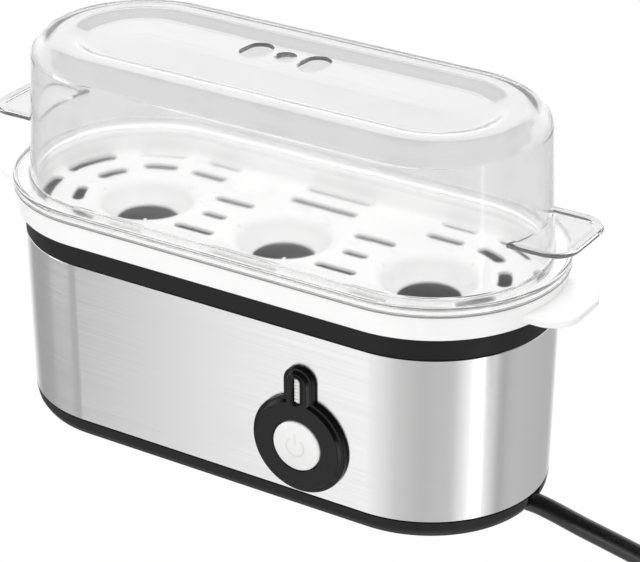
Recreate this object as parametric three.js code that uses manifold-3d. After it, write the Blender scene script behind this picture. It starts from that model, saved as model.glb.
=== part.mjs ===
import * as THREE from 'three';
import { mergeVertices } from 'three/addons/utils/BufferGeometryUtils.js';
import Module from 'manifold-3d';

// An electric cooker for three eggs: a steel-clad base with a heating bowl, a white egg tray and a clear lid.
// Millimetres, +Z up, the push button on the -Y side, the origin on the floor under the middle of the body.

// Plan: every level is a straight spine with a half circle round each end
const SPINE = 63;
const CUP_PITCH = 62.5;

// Clearances shared by the pieces
const SEAT_GAP = 0.3;
const SIDE_GAP = 0.3;
const OVERRUN = 1;

// Rubber feet
const FOOT_RADIUS = 6;
const FOOT_STAND = 1.5;
const FOOT_SEAT = 1.7;
const FOOT_BEVEL = 0.6;
const FOOT_INSET_X = 34.6;
const FOOT_Y = 22;

// Bottom casing
const BASE_DRAFT = 2.3;
const BASE_BEVEL = 0.5;
const BASE_FLOOR = 3;
const TRIM_STEP = 0.3;
const TRIM_HEIGHT = 6.7;
const UPSTAND_HEIGHT = 5.8;
const UPSTAND_WALL = 2;

// Steel sleeve
const SLEEVE_TOP_RADIUS = 46.9;
const SLEEVE_TAPER = 1;
const SLEEVE_HEIGHT = 67.2;
const SLEEVE_WALL = 0.8;

// Upper housing
const BAND_HEIGHT = 16.3;
const BAND_WALL = 1.2;
const BAND_BEVEL = 0.3;
const SHELF_WIDTH = 6.7;
const SHELF_RISE = 3;
const SHELF_FLOOR = 2.5;
const SKIRT_DEPTH = 10;
const SKIRT_WALL = 2;

// Posts and screws that join the bottom casing to the upper housing
const POST_INSET_X = 3;
const POST_RADIUS = 2.6;
const CASING_POST_RADIUS = 3.1;
const CASING_POST_HEIGHT = 15.2;
const SCREW_RADIUS = 1.35;
const SCREW_LENGTH = 22;
const SCREW_HEAD_RADIUS = 2.1;
const SCREW_HEAD_HEIGHT = 1.9;
const SCREW_SUNK = 4.5;
const SCREW_DRIVE_RADIUS = 1.2;
const SCREW_DRIVE_DEPTH = 1;

// Heating bowl and its seal
const BOWL_DEPTH = 21.4;
const BOWL_WALL = 0.8;
const BOWL_CORNER = 4.8;
const BOWL_DRAFT = 0.6;
const BOWL_LIP_ROUND = 1.6;
const BOWL_FLANGE_WIDTH = 6.5;
const BOWL_FLANGE_GAP = 1.2;
const SEAL_HEIGHT = 1;
const SEAL_WIDTH = 4.9;

// Tubular heater, its clips, the thermostat and the thermal fuse
const HEATER_RADIUS = 3.2;
const HEATER_REACH = 50;
const HEATER_INSET = 13;
const HEATER_END_X = 66;
const HEATER_END_DROP = 10;
const HEATER_BEND = 6;
const CLIP_X = 32;
const CLIP_WIDTH = 10;
const CLIP_SHEET = 1.2;
const CLIP_MARGIN = 3.8;
const THERMOSTAT_RADIUS = 8.5;
const THERMOSTAT_PLATE = 1.6;
const THERMOSTAT_BODY_RADIUS = 7;
const THERMOSTAT_BODY = 7;
const BLADE_WIDTH = 4.8;
const BLADE_SHEET = 0.8;
const BLADE_LENGTH = 7;
const BLADE_SPREAD = 3.6;
const FUSE_RADIUS = 2;
const FUSE_LENGTH = 12;
const FUSE_X = 17;

// Egg tray
const TRAY_FLOOR = 2;
const TRAY_DROP = 8.55;
const TRAY_RIM_FLOOR = 2.2;
const TRAY_RIM_REACH = 3.5;
const TRAY_RIM_ROUND = 0.6;
const TRAY_SKIRT_LEAN = 0.9;
const TRAY_SKIRT_WALL = 1.7;
const TRAY_SKIRT_HEIGHT = 9.9;
const TRAY_WALL = 1.8;
const TRAY_WALL_DRAFT = 0.6;
const TRAY_CORNER = 0.75;
const EGG_RADIUS = 19.1;
const CUP_RISE = 4.65;
const CUP_WALL = 1.8;
const CUP_HOLE_RADIUS = 12;
const LUG_RADIUS = 0.9;
const LUG_HEIGHT = 0.6;
const LUG_ANGLES = [-60, 60, 180];

// Slots of the egg tray: two rows that follow the outline, and groups between the cups
const OUTER_ROW_INSET = 3.4;
const ROW_PITCH = 11.7;
const SLOT_WIDTH = 4;
const MIDDLE_SLOT_LENGTH = 29.6;
const SIDE_SLOT_LENGTH = 16;
const SIDE_SLOT_X = 53;
const CROSS_SLOT_Y = 13.9;
const CROSS_SLOT_LENGTH = 17.5;
const SHORT_SLOT_LENGTH = 10.8;
const END_SLOT_WIDTH = 5.2;
const WIDE_SLOT_WIDTH = 8;
const WIDE_SLOT_INSET = 1.5;
const INNER_SLOT_ANGLES = [[16, 33], [58, 76]];
const OUTER_SLOT_ANGLES = [[10, 34], [53, 77]];
const DIMPLE_Y = 27.5;
const DIMPLE_RADIUS = 6;
const DIMPLE_DEPTH = 1.1;

// Handles on the ends of the tray and of the lid
const TRAY_TAB_LENGTH = 12.9;
const TRAY_TAB_HALF_WIDTH = 17.2;
const TRAY_TAB_ROUND = 11;
const TRAY_TAB_SHEET = 3;
const TRAY_TAB_DROP = 4.8;
const TAB_BEVEL = 0.5;
const LID_TAB_LENGTH = 11.8;
const LID_TAB_HALF_WIDTH = 18.2;
const LID_TAB_ROUND = 10;
const LID_TAB_SHEET = 2.4;
const LID_TAB_RISE = 21.2;
const LID_TAB_DISH = 0.7;
const LID_TAB_BORDER = 2.2;

// Clear lid
const LID_WALL = 2;
const LID_RIM_REACH = 0.6;
const LID_RIM_LIP = 1.8;
const LID_RIM_HEIGHT = 3.5;
const LID_RIM_BEVEL = 0.5;
const LID_SPIGOT_DEPTH = 2.8;
const LID_SPIGOT_DRAFT = 0.4;
const LID_INSET = 2.6;
const LID_TAPER = 2.3;
const LID_SHOULDER_HEIGHT = 51.4;
const LID_CROWN_HEIGHT = 7;
const LID_CROWN_WIDTH = 6.3;
const LID_CROWN_FLAT = 9.7;
const LID_RECESS_SLOPE = 4;
const LID_RECESS_DEPTH = 2.2;
const VENT_X = -7.3;
const VENT_Y = 12.4;
const VENT_SPREAD = 12.6;
const VENT_WIDTH = 8;
const VENT_LENGTH = 13.8;
const VENT_MARK_WIDTH = 6;
const VENT_MARK_LENGTH = 7;
const VENT_MARK_DEPTH = 0.8;

// Control panel, drawn upright on the sleeve's front with its depth measured outwards from the steel
const PANEL_X = 36.9;
const PANEL_Z = 30.3;
const BEZEL_RADIUS = 19.75;
const BEZEL_FLANGE = 1.7;
const BEZEL_ROUND = 0.9;
const BEZEL_FACE_RADIUS = 18;
const BEZEL_FACE = 3.3;
const BEZEL_FACE_ROUND = 0.4;
const HOOD_HALF_WIDTH = 6.7;
const HOOD_TOP = 32.1;
const HOOD_FACE_HALF_WIDTH = 5.2;
const WINDOW_Y = 22.6;
const WINDOW_WIDTH = 3.6;
const WINDOW_LENGTH = 11.4;
const WINDOW_FRAME = 0.8;
const WINDOW_FRAME_RISE = 0.4;
const BUTTON_BORE_RADIUS = 10.2;
const GUIDE_RADIUS = 12.8;
const GUIDE_DEPTH = 5.7;
const LAMP_BOX_WIDTH = 8;
const LAMP_BOX_LENGTH = 15;
const LAMP_BOX_DEPTH = 9;
const LAMP_CELL_WIDTH = 5;
const LAMP_CELL_LENGTH = 12.6;
const LENS_BACK = 3;
const LENS_SUNK = 0.5;
const LAMP_RADIUS = 2.2;
const LAMP_LENGTH = 10.4;

// Push button and the switch behind it
const BUTTON_RIM = 3.7;
const BUTTON_CROWN = 0.8;
const BUTTON_WALL = 1.6;
const BUTTON_ROUND = 0.7;
const BUTTON_FLANGE_RADIUS = 11.6;
const BUTTON_FLANGE = 1.2;
const BUTTON_STEM_RADIUS = 2.2;
const BUTTON_STEM_END = 8;
const BUTTON_TRAVEL = 2.5;
const PLUNGER_WIDTH = 4;
const PLUNGER_LENGTH = 5.7;
const SWITCH_FRONT = 12.1;
const SWITCH_WIDTH = 16;
const SWITCH_HEIGHT = 16;
const SWITCH_DEPTH = 14;
const SWITCH_BLADE_SPREAD = 4.5;
const BRACKET_SHEET = 1.5;
const BRACKET_WIDTH = 34;
const BRACKET_HEIGHT = 12;
const BRACKET_CHEEK = 8;

// Mains cord where it enters, its clamp and the leads inside
const CORD_RADIUS = 3.8;
const CORD_EXIT_Z = 4.4;
const GROMMET_RADIUS = 4.1;
const GROMMET_INSET = 4;
const GROMMET_LENGTH = 18.6;
const GROMMET_RISE = 12;
const GROMMET_BEND = 8;
const CHANNEL_HALF_WIDTH = 4.6;
const CHANNEL_MARGIN = 5.5;
const CLAMP_INSET = 6.6;
const CLAMP_WIDTH = 7;
const CLAMP_SHEET = 2;
const CLAMP_HALF_SPAN = 12;
const CLAMP_BOSS_RADIUS = 3;
const CLAMP_SCREW_RADIUS = 1.2;
const CLAMP_SCREW_LENGTH = 5.5;
const CLAMP_HEAD_RADIUS = 2.4;
const CLAMP_HEAD_HEIGHT = 1.6;
const CLAMP_SCREW_Y = 9;
const LEAD_RADIUS = 1.1;

// Mains cord outside: its route along the floor, then a coil, a tail and the plug
const CORD_ROUTE = [
  [104.9, 0, 4.4], [110.5, -0.2, 4.3], [118, -1.5, 4], [130.4, -4.9, 3.9], [145.5, -8.7, 3.9],
  [156.4, -11.5, 3.9], [168, -14.5, 3.9], [178, -17.1, 3.9], [186, -19.2, 3.9],
];
const COIL_RADIUS = 46;
const COIL_PITCH = 8.3;
const COIL_TURNS = 3;
const COIL_STEPS = 24;
const COIL_SIDES = 6;
const TAIL_LENGTH = 46;
const PLUG_HEAD_RADIUS = 18.3;
const PLUG_HEAD_LENGTH = 17;
const PLUG_NECK_RADIUS = 9;
const PLUG_NECK_LENGTH = 24;
const PLUG_SLEEVE_RADIUS = 5.2;
const PLUG_SLEEVE_LENGTH = 12;
const PLUG_BEVEL = 1.2;
const PLUG_FACE_DEPTH = 2;
const PLUG_FACE_RADIUS = 15.5;
const PIN_RADIUS = 2.4;
const PIN_LENGTH = 19;
const PIN_SPREAD = 9.5;
const PIN_ROOT = 6;
const PIN_BEVEL = 0.8;

// Shares of the width and height of the lid's crown and of its recess, along their rounded edges
const CROWN_SHARES = [[0, 0], [0.08, 0.29], [0.68, 0.9], [1, 1]];
const RECESS_SHARES = [[0, 0], [0.25, 0.25], [0.75, 0.88], [1, 1]];

// Shares of the cord's tail: along its length, and of its rise to the plug
const TAIL_SHARES = [0, 0.2, 0.45, 0.8, 1];
const TAIL_RISE_SHARES = [0, 0.1, 0.5, 1, 1];
const MERGE_SHARE = 1e-6;

// Facet counts
const END_STEPS = 18;
const PANEL_STEPS = 16;
const INNER_END_STEPS = 12;
const ROUND_STEPS = 24;
const SMALL_STEPS = 10;
const DIMPLE_STEPS = 12;
const DRIVE_SIDES = 4;
const BEND_STEPS = 3;
const LIP_STEPS = 2;
const TAB_STEPS = 5;
const SLOT_STEPS = 2;
const VENT_STEPS = 4;
const CUP_STEPS = 24;
const CUP_ARC_STEPS = 4;
const TUBE_SIDES = 8;
const HEATER_STEPS = 44;
const HEATER_LOOP_STEPS = 6;
const GROMMET_STEPS = 14;
const CORD_STEPS = 10;
const TAIL_STEPS = 6;
const LEAD_SIDES = 6;
const LEAD_STEPS = 16;

// Radii and places in the plan that follow from the sizes above
const SLEEVE_FOOT_RADIUS = SLEEVE_TOP_RADIUS - SLEEVE_TAPER;
const TRIM_RADIUS = SLEEVE_FOOT_RADIUS - TRIM_STEP;
const BASE_RADIUS = TRIM_RADIUS - BASE_DRAFT;
const FOOT_X = SPINE + TRIM_RADIUS - FOOT_INSET_X;
const BAND_RADIUS = SLEEVE_TOP_RADIUS;
const BAND_INSIDE_RADIUS = BAND_RADIUS - BAND_WALL;
const SHELF_RADIUS = BAND_INSIDE_RADIUS - SHELF_WIDTH;
const SKIRT_RADIUS = SLEEVE_TOP_RADIUS - SLEEVE_WALL - 2 * SIDE_GAP;
const GROMMET_OUTER_X = SPINE + TRIM_RADIUS - GROMMET_INSET;
const GROMMET_INNER_X = GROMMET_OUTER_X - GROMMET_LENGTH;
const CHANNEL_INNER_X = GROMMET_INNER_X - CHANNEL_MARGIN;
const CLAMP_X = GROMMET_OUTER_X - CLAMP_INSET;
const POST_X = SPINE - POST_INSET_X;
const BOWL_FLANGE_RADIUS = BAND_INSIDE_RADIUS - BOWL_FLANGE_GAP;
const BOWL_LIP_RADIUS = BOWL_FLANGE_RADIUS - BOWL_FLANGE_WIDTH;
const BOWL_WALL_RADIUS = BOWL_LIP_RADIUS - BOWL_LIP_ROUND + BOWL_WALL;
const POST_Y = BOWL_WALL_RADIUS + SIDE_GAP + POST_RADIUS;
const BOWL_FLOOR_RADIUS = BOWL_LIP_RADIUS - BOWL_LIP_ROUND - BOWL_DRAFT - BOWL_CORNER;
const HEATER_SPREAD = BOWL_FLOOR_RADIUS - HEATER_INSET;
const CLIP_HALF_SPAN = HEATER_SPREAD + HEATER_RADIUS + CLIP_MARGIN;
const TRAY_RADIUS = BAND_INSIDE_RADIUS - SIDE_GAP;
const TRAY_INSIDE_RADIUS = TRAY_RADIUS - TRAY_WALL;
const TRAY_RIM_RADIUS = BAND_RADIUS + TRAY_RIM_REACH;
const TRAY_SKIRT_FOOT_RADIUS = TRAY_RIM_RADIUS - TRAY_SKIRT_LEAN;
const TRAY_TAB_REACH = TRAY_RIM_RADIUS + TRAY_TAB_LENGTH;
const OUTER_ROW = TRAY_INSIDE_RADIUS - OUTER_ROW_INSET;
const INNER_ROW = OUTER_ROW - ROW_PITCH;
const WIDE_SLOT_ROW = INNER_ROW - WIDE_SLOT_INSET;
const LID_RIM_RADIUS = TRAY_RIM_RADIUS + LID_RIM_REACH;
const LID_TAB_REACH = LID_RIM_RADIUS + LID_TAB_LENGTH;
const LID_FOOT_RADIUS = BAND_RADIUS - LID_INSET;
const LID_SHOULDER_RADIUS = LID_FOOT_RADIUS - LID_TAPER;
const LID_CROWN_RADIUS = LID_SHOULDER_RADIUS - LID_CROWN_WIDTH;
const LID_RECESS_RADIUS = LID_CROWN_RADIUS - LID_CROWN_FLAT;
const LID_SPIGOT_RADIUS = TRAY_INSIDE_RADIUS + TRAY_WALL_DRAFT - SIDE_GAP;

// Heights that follow from the sizes above
const CASING_TOP = FOOT_STAND + BASE_FLOOR;
const TRIM_TOP = FOOT_STAND + TRIM_HEIGHT;
const SLEEVE_Z = TRIM_TOP + SEAT_GAP;
const SLEEVE_TOP = SLEEVE_Z + SLEEVE_HEIGHT;
const BAND_Z = SLEEVE_TOP + SEAT_GAP;
const BAND_TOP = BAND_Z + BAND_HEIGHT;
const SHELF_TOP = BAND_Z + SHELF_RISE;
const SHELF_BOTTOM = SHELF_TOP - SHELF_FLOOR;
const SEAL_Z = SHELF_TOP + SEAT_GAP;
const FLANGE_Z = SEAL_Z + SEAL_HEIGHT + SEAT_GAP;
const FLANGE_TOP = FLANGE_Z + BOWL_WALL;
const BOWL_Z = FLANGE_TOP - BOWL_DEPTH;
const BOWL_BOTTOM = BOWL_Z - BOWL_WALL;
const TRAY_RIM_Z = BAND_TOP + SEAT_GAP;
const TRAY_TOP = TRAY_RIM_Z + TRAY_RIM_FLOOR;
const TRAY_Z = TRAY_TOP - TRAY_DROP;
const LID_Z = TRAY_TOP + SEAT_GAP;
const LID_SHOULDER_Z = LID_Z + LID_SHOULDER_HEIGHT;
const LID_TOP = LID_SHOULDER_Z + LID_CROWN_HEIGHT;

const wasm = await Module();
wasm.setup();

const egg_cooker = new THREE.Group();
egg_cooker.name = 'egg_cooker';

const materials = {
  black: new THREE.MeshStandardMaterial({ color: '#242425', roughness: 0.35, metalness: 0 }),
  steel: new THREE.MeshStandardMaterial({ color: '#c4c3c3', roughness: 0.32, metalness: 1 }),
  bowl: new THREE.MeshStandardMaterial({ color: '#8a8a8c', roughness: 0.4, metalness: 1 }),
  white: new THREE.MeshStandardMaterial({ color: '#f4f4f3', roughness: 0.4, metalness: 0 }),
  clear: new THREE.MeshStandardMaterial({ color: '#eef0f0', roughness: 0.06, metalness: 0 }),
  rubber: new THREE.MeshStandardMaterial({ color: '#2b2b2b', roughness: 0.85, metalness: 0 }),
  silicone: new THREE.MeshStandardMaterial({ color: '#b9b4ae', roughness: 0.7, metalness: 0 }),
  zinc: new THREE.MeshStandardMaterial({ color: '#a9abad', roughness: 0.4, metalness: 1 }),
  brown: new THREE.MeshStandardMaterial({ color: '#5a3a26', roughness: 0.6, metalness: 0 }),
  blue: new THREE.MeshStandardMaterial({ color: '#2c5a9a', roughness: 0.6, metalness: 0 }),
  green: new THREE.MeshStandardMaterial({ color: '#8aa832', roughness: 0.6, metalness: 0 }),
  glass: new THREE.MeshStandardMaterial({ color: '#e8c8b0', roughness: 0.1, metalness: 0 }),
};

// A closed solid from a three.js geometry
function solid(geometry) {
  const plain = geometry.clone();
  plain.deleteAttribute('normal');
  plain.deleteAttribute('uv');
  const merged = mergeVertices(plain, SPINE * MERGE_SHARE);
  const corners = merged.index.array;
  const kept = [];
  for (let at = 0; at < corners.length; at += 3) {
    const [a, b, c] = corners.slice(at, at + 3);
    if (a !== b && b !== c && c !== a) kept.push(a, b, c);
  }
  return new wasm.Manifold(new wasm.Mesh({
    numProp: 3,
    vertProperties: merged.attributes.position.array,
    triVerts: new Uint32Array(kept),
  }));
}

// A named piece of the cooker from a solid or a closed geometry
function addPiece(name, shape, material, parent = egg_cooker) {
  let geometry = shape;
  if (!shape.isBufferGeometry) {
    const { vertProperties, triVerts } = shape.getMesh();
    geometry = new THREE.BufferGeometry();
    geometry.setAttribute('position', new THREE.BufferAttribute(new Float32Array(vertProperties), 3));
    geometry.setIndex(new THREE.BufferAttribute(new Uint32Array(triVerts), 1));
    geometry.computeVertexNormals();
  }
  const mesh = new THREE.Mesh(geometry, material);
  mesh.name = name;
  parent.add(mesh);
  return mesh;
}

// Faces between the rings of a swept profile: rows of points, each row closed on itself
function stitch(rows, closed) {
  const width = rows[0].length;
  const positions = rows.flat(2);
  const corners = [];
  const last = closed ? rows.length : rows.length - 1;
  for (let row = 0; row < last; row += 1) {
    const next = (row + 1) % rows.length;
    for (let column = 0; column < width; column += 1) {
      const beside = (column + 1) % width;
      const [a, b] = [row * width + column, row * width + beside];
      const [c, d] = [next * width + beside, next * width + column];
      corners.push(a, b, c, a, c, d);
    }
  }
  const geometry = new THREE.BufferGeometry();
  geometry.setAttribute('position', new THREE.BufferAttribute(new Float32Array(positions), 3));
  geometry.setIndex(corners);
  return geometry;
}

// A profile of [radius, height] points, counterclockwise, swept round the spine.
// It starts and ends on the spine, or closes on itself.
function spineSweep(profile, steps = END_STEPS) {
  const columns = [];
  for (const side of [1, -1]) {
    for (let step = 0; step <= steps; step += 1) {
      const turn = Math.PI * step / steps - Math.PI / 2;
      columns.push([side, side * Math.cos(turn), side * Math.sin(turn)]);
    }
  }
  const rows = profile.map(([radius, height]) => (
    columns.map(([side, cos, sin]) => [side * SPINE + radius * cos, radius * sin, height])
  ));
  const closed = profile[0][0] > 0;
  return solid(stitch(rows, closed));
}

// A solid of revolution round +Z
function turned(profile, steps = ROUND_STEPS) {
  const points = profile.map(([radius, height]) => new THREE.Vector2(radius, height));
  if (profile[0][0] > 0) points.push(points[0].clone());
  const geometry = new THREE.LatheGeometry(points, steps);
  geometry.rotateX(Math.PI / 2);
  return solid(geometry);
}

function cylinder(radius, from, to, steps = ROUND_STEPS) {
  return turned([[0, from], [radius, from], [radius, to], [0, to]], steps);
}

// A flat shape raised from one height to another
function raised(shape, from, to, steps = SMALL_STEPS) {
  const geometry = new THREE.ExtrudeGeometry(shape, {
    depth: to - from, bevelEnabled: false, curveSegments: steps,
  });
  geometry.translate(0, 0, from);
  return solid(geometry);
}

// The same with its edges rounded inside the outline
function roundedPlate(shape, from, to, round, steps, layers = 2) {
  const geometry = new THREE.ExtrudeGeometry(shape, {
    depth: to - from - 2 * round,
    bevelThickness: round,
    bevelSize: round,
    bevelOffset: -round,
    bevelSegments: layers,
    curveSegments: steps,
  });
  geometry.translate(0, 0, from + round);
  return solid(geometry);
}

function block(width, depth, from, to) {
  const geometry = new THREE.BoxGeometry(width, depth, to - from);
  geometry.translate(0, 0, (from + to) / 2);
  return solid(geometry);
}

// A straight slot with round ends, along X
function slotShape(length, width) {
  const shape = new THREE.Shape();
  const reach = (length - width) / 2;
  shape.absarc(reach, 0, width / 2, -Math.PI / 2, Math.PI / 2, false);
  shape.absarc(-reach, 0, width / 2, Math.PI / 2, Math.PI * 1.5, false);
  shape.closePath();
  return shape;
}

// A slot with round ends that follows an arc round the origin, from one angle to another
function arcSlotShape(row, width, from, to) {
  const [start, end] = [THREE.MathUtils.degToRad(from), THREE.MathUtils.degToRad(to)];
  const shape = new THREE.Shape();
  const round = (angle, first) => {
    shape.absarc(row * Math.cos(angle), row * Math.sin(angle), width / 2, first, first + Math.PI, false);
  };
  shape.absarc(0, 0, row + width / 2, start, end, false);
  round(end, end);
  shape.absarc(0, 0, row - width / 2, end, start, true);
  round(start, start + Math.PI);
  shape.closePath();
  return shape;
}

// A rectangle from x = 0 to the reach, with its two far corners rounded
function tabShape(reach, halfWidth, round) {
  const shape = new THREE.Shape();
  shape.moveTo(0, -halfWidth);
  shape.absarc(reach - round, round - halfWidth, round, -Math.PI / 2, 0, false);
  shape.absarc(reach - round, halfWidth - round, round, 0, Math.PI / 2, false);
  shape.lineTo(0, halfWidth);
  shape.closePath();
  return shape;
}

// A round tube along a list of points
function tube(points, radius, sides, steps) {
  const section = new THREE.Shape();
  section.absarc(0, 0, radius, 0, 2 * Math.PI, false);
  const stops = points.map((point) => new THREE.Vector3(...point));
  const extrudePath = new THREE.CatmullRomCurve3(stops, false, 'centripetal');
  const geometry = new THREE.ExtrudeGeometry(section, { extrudePath, steps, curveSegments: sides / 2 });
  return solid(geometry);
}

// Points on a circle's arc, in degrees
function arcPoints(centreX, centreY, radius, from, to, steps) {
  const points = [];
  for (let step = 0; step <= steps; step += 1) {
    const angle = THREE.MathUtils.degToRad(from + (to - from) * step / steps);
    points.push([centreX + radius * Math.cos(angle), centreY + radius * Math.sin(angle)]);
  }
  return points;
}

// The bend of a tube in its upright plane: [x, z] points on a quarter circle that touches x at a height
function elbow(x, z, radius, from, to) {
  const side = Math.sign(Math.cos(THREE.MathUtils.degToRad((from + to) / 2)));
  return arcPoints(x - side * radius, z, radius, from, to, BEND_STEPS);
}

// The places of what stands once in each corner of the plan
function inCorners(x, y) {
  return [[x, y], [-x, y], [-x, -y], [x, -y]];
}

// Both ends of the plan: the piece itself and the same turned half round
function atBothEnds(shape) {
  return shape.add(shape.rotate([0, 0, 180]));
}

function addBaseShell() {
  const upstandRadius = SLEEVE_FOOT_RADIUS - SLEEVE_WALL - SIDE_GAP;
  const upstandTop = TRIM_TOP + UPSTAND_HEIGHT;
  const insideRadius = upstandRadius - UPSTAND_WALL;
  let shell = spineSweep([
    [0, FOOT_STAND], [BASE_RADIUS - BASE_BEVEL, FOOT_STAND], [BASE_RADIUS, FOOT_STAND + BASE_BEVEL],
    [TRIM_RADIUS, TRIM_TOP], [upstandRadius, TRIM_TOP], [upstandRadius, upstandTop],
    [insideRadius, upstandTop], [insideRadius, CASING_TOP], [0, CASING_TOP],
  ]);
  const postTop = CASING_TOP + CASING_POST_HEIGHT;
  for (const [x, y] of inCorners(POST_X, POST_Y)) {
    const sunk = FOOT_STAND + SCREW_SUNK + SCREW_HEAD_HEIGHT + SEAT_GAP;
    const post = cylinder(CASING_POST_RADIUS, CASING_TOP - OVERRUN, postTop, SMALL_STEPS);
    const bore = cylinder(SCREW_RADIUS + SIDE_GAP, 0, postTop + OVERRUN, SMALL_STEPS)
      .add(cylinder(SCREW_HEAD_RADIUS + SIDE_GAP, 0, sunk, SMALL_STEPS));
    shell = shell.add(post.translate([x, y, 0])).subtract(bore.translate([x, y, 0]));
  }
  for (const [x, y] of inCorners(FOOT_X, FOOT_Y)) {
    const pocket = cylinder(FOOT_RADIUS + SIDE_GAP, 0, FOOT_STAND + FOOT_SEAT + SEAT_GAP, ROUND_STEPS / 2);
    shell = shell.subtract(pocket.translate([x, y, 0]));
  }
  const bossTop = CORD_EXIT_Z + GROMMET_RADIUS;
  const clampBoss = cylinder(CLAMP_BOSS_RADIUS, FOOT_STAND, bossTop, SMALL_STEPS)
    .subtract(cylinder(CLAMP_SCREW_RADIUS + SIDE_GAP, CASING_TOP - OVERRUN, bossTop + OVERRUN, SMALL_STEPS));
  for (const y of [CLAMP_SCREW_Y, -CLAMP_SCREW_Y]) shell = shell.add(clampBoss.translate([CLAMP_X, y, 0]));
  const channelLength = SPINE + TRIM_RADIUS + OVERRUN - CHANNEL_INNER_X;
  const channel = block(channelLength, 2 * CHANNEL_HALF_WIDTH, 0, upstandTop + OVERRUN)
    .translate([CHANNEL_INNER_X + channelLength / 2, 0, 0]);
  addPiece('base_shell', shell.subtract(channel), materials.black);
}

function addFeetAndScrews() {
  const foot = turned([
    [0, 0], [FOOT_RADIUS - FOOT_BEVEL, 0], [FOOT_RADIUS, FOOT_BEVEL],
    [FOOT_RADIUS, FOOT_STAND + FOOT_SEAT], [0, FOOT_STAND + FOOT_SEAT],
  ], ROUND_STEPS / 2);
  const headZ = FOOT_STAND + SCREW_SUNK;
  const neckZ = headZ + SCREW_HEAD_HEIGHT;
  const screw = turned([
    [0, headZ], [SCREW_HEAD_RADIUS, headZ], [SCREW_HEAD_RADIUS, neckZ], [SCREW_RADIUS, neckZ],
    [SCREW_RADIUS, neckZ + SCREW_LENGTH - SCREW_RADIUS], [0, neckZ + SCREW_LENGTH],
  ], SMALL_STEPS)
    .subtract(cylinder(SCREW_DRIVE_RADIUS, headZ - OVERRUN, headZ + SCREW_DRIVE_DEPTH, DRIVE_SIDES));
  inCorners(FOOT_X, FOOT_Y).forEach(([x, y], at) => {
    addPiece(`foot_${at + 1}`, foot, materials.rubber).position.set(x, y, 0);
  });
  inCorners(POST_X, POST_Y).forEach(([x, y], at) => {
    addPiece(`base_screw_${at + 1}`, screw, materials.zinc).position.set(x, y, 0);
  });
}

// The sleeve leans outwards: its slope, and its outer radius at a height
const SLEEVE_LEAN = Math.atan2(SLEEVE_TOP_RADIUS - SLEEVE_FOOT_RADIUS, SLEEVE_HEIGHT);
const sleeveRadius = (height) => SLEEVE_FOOT_RADIUS + (height - SLEEVE_Z) * Math.tan(SLEEVE_LEAN);

// The control panel's own frame: X along the front, Y up the steel, Z straight out of it
const panel = new THREE.Group();
panel.position.set(PANEL_X, -sleeveRadius(PANEL_Z), PANEL_Z);
panel.rotation.x = Math.PI / 2 + SLEEVE_LEAN;
egg_cooker.add(panel);

function inPanelFrame(shape) {
  return shape.rotate([THREE.MathUtils.radToDeg(panel.rotation.x), 0, 0]).translate(panel.position.toArray());
}

// The room that the lamp box needs behind the panel, between two depths
function lampRoom(from, to) {
  const shape = slotShape(LAMP_BOX_LENGTH + 2 * SIDE_GAP, LAMP_BOX_WIDTH + 2 * SIDE_GAP);
  return raised(shape, from, to, SLOT_STEPS).rotate([0, 0, 90]).translate([0, WINDOW_Y, 0]);
}

function addSteelSleeve() {
  const wallRadius = (radius) => radius - SLEEVE_WALL;
  const wall = spineSweep([
    [SLEEVE_FOOT_RADIUS, SLEEVE_Z], [SLEEVE_TOP_RADIUS, SLEEVE_TOP],
    [wallRadius(SLEEVE_TOP_RADIUS), SLEEVE_TOP], [wallRadius(SLEEVE_FOOT_RADIUS), SLEEVE_Z],
  ]);
  const buttonHole = cylinder(GUIDE_RADIUS + SIDE_GAP, -SLEEVE_WALL - OVERRUN, OVERRUN);
  const lampHole = lampRoom(-SLEEVE_WALL - OVERRUN, OVERRUN);
  addPiece('steel_sleeve', wall.subtract(inPanelFrame(buttonHole.add(lampHole))), materials.steel);
}

function addUpperHousing() {
  const skirtZ = BAND_Z - SKIRT_DEPTH;
  const skirtInsideRadius = SKIRT_RADIUS - SKIRT_WALL;
  let ring = spineSweep([
    [BAND_RADIUS, BAND_Z], [BAND_RADIUS, BAND_TOP - BAND_BEVEL], [BAND_RADIUS - BAND_BEVEL, BAND_TOP],
    [BAND_INSIDE_RADIUS + BAND_BEVEL, BAND_TOP], [BAND_INSIDE_RADIUS, BAND_TOP - BAND_BEVEL],
    [BAND_INSIDE_RADIUS, SHELF_TOP], [SHELF_RADIUS, SHELF_TOP], [SHELF_RADIUS, SHELF_BOTTOM],
    [skirtInsideRadius, SHELF_BOTTOM], [skirtInsideRadius, skirtZ], [SKIRT_RADIUS, skirtZ],
    [SKIRT_RADIUS, BAND_Z],
  ]);
  const postZ = CASING_TOP + CASING_POST_HEIGHT + SEAT_GAP;
  const screwTop = FOOT_STAND + SCREW_SUNK + SCREW_HEAD_HEIGHT + SCREW_LENGTH + OVERRUN;
  for (const [x, y] of inCorners(POST_X, POST_Y)) {
    const post = cylinder(POST_RADIUS, postZ, SHELF_BOTTOM + OVERRUN, SMALL_STEPS);
    const bore = cylinder(SCREW_RADIUS + SIDE_GAP, postZ - OVERRUN, screwTop, SMALL_STEPS);
    ring = ring.add(post.translate([x, y, 0])).subtract(bore.translate([x, y, 0]));
  }
  ring = ring.subtract(inPanelFrame(lampRoom(-LAMP_BOX_DEPTH - SIDE_GAP, -SLEEVE_WALL)));
  addPiece('upper_housing', ring, materials.black);
}

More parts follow.
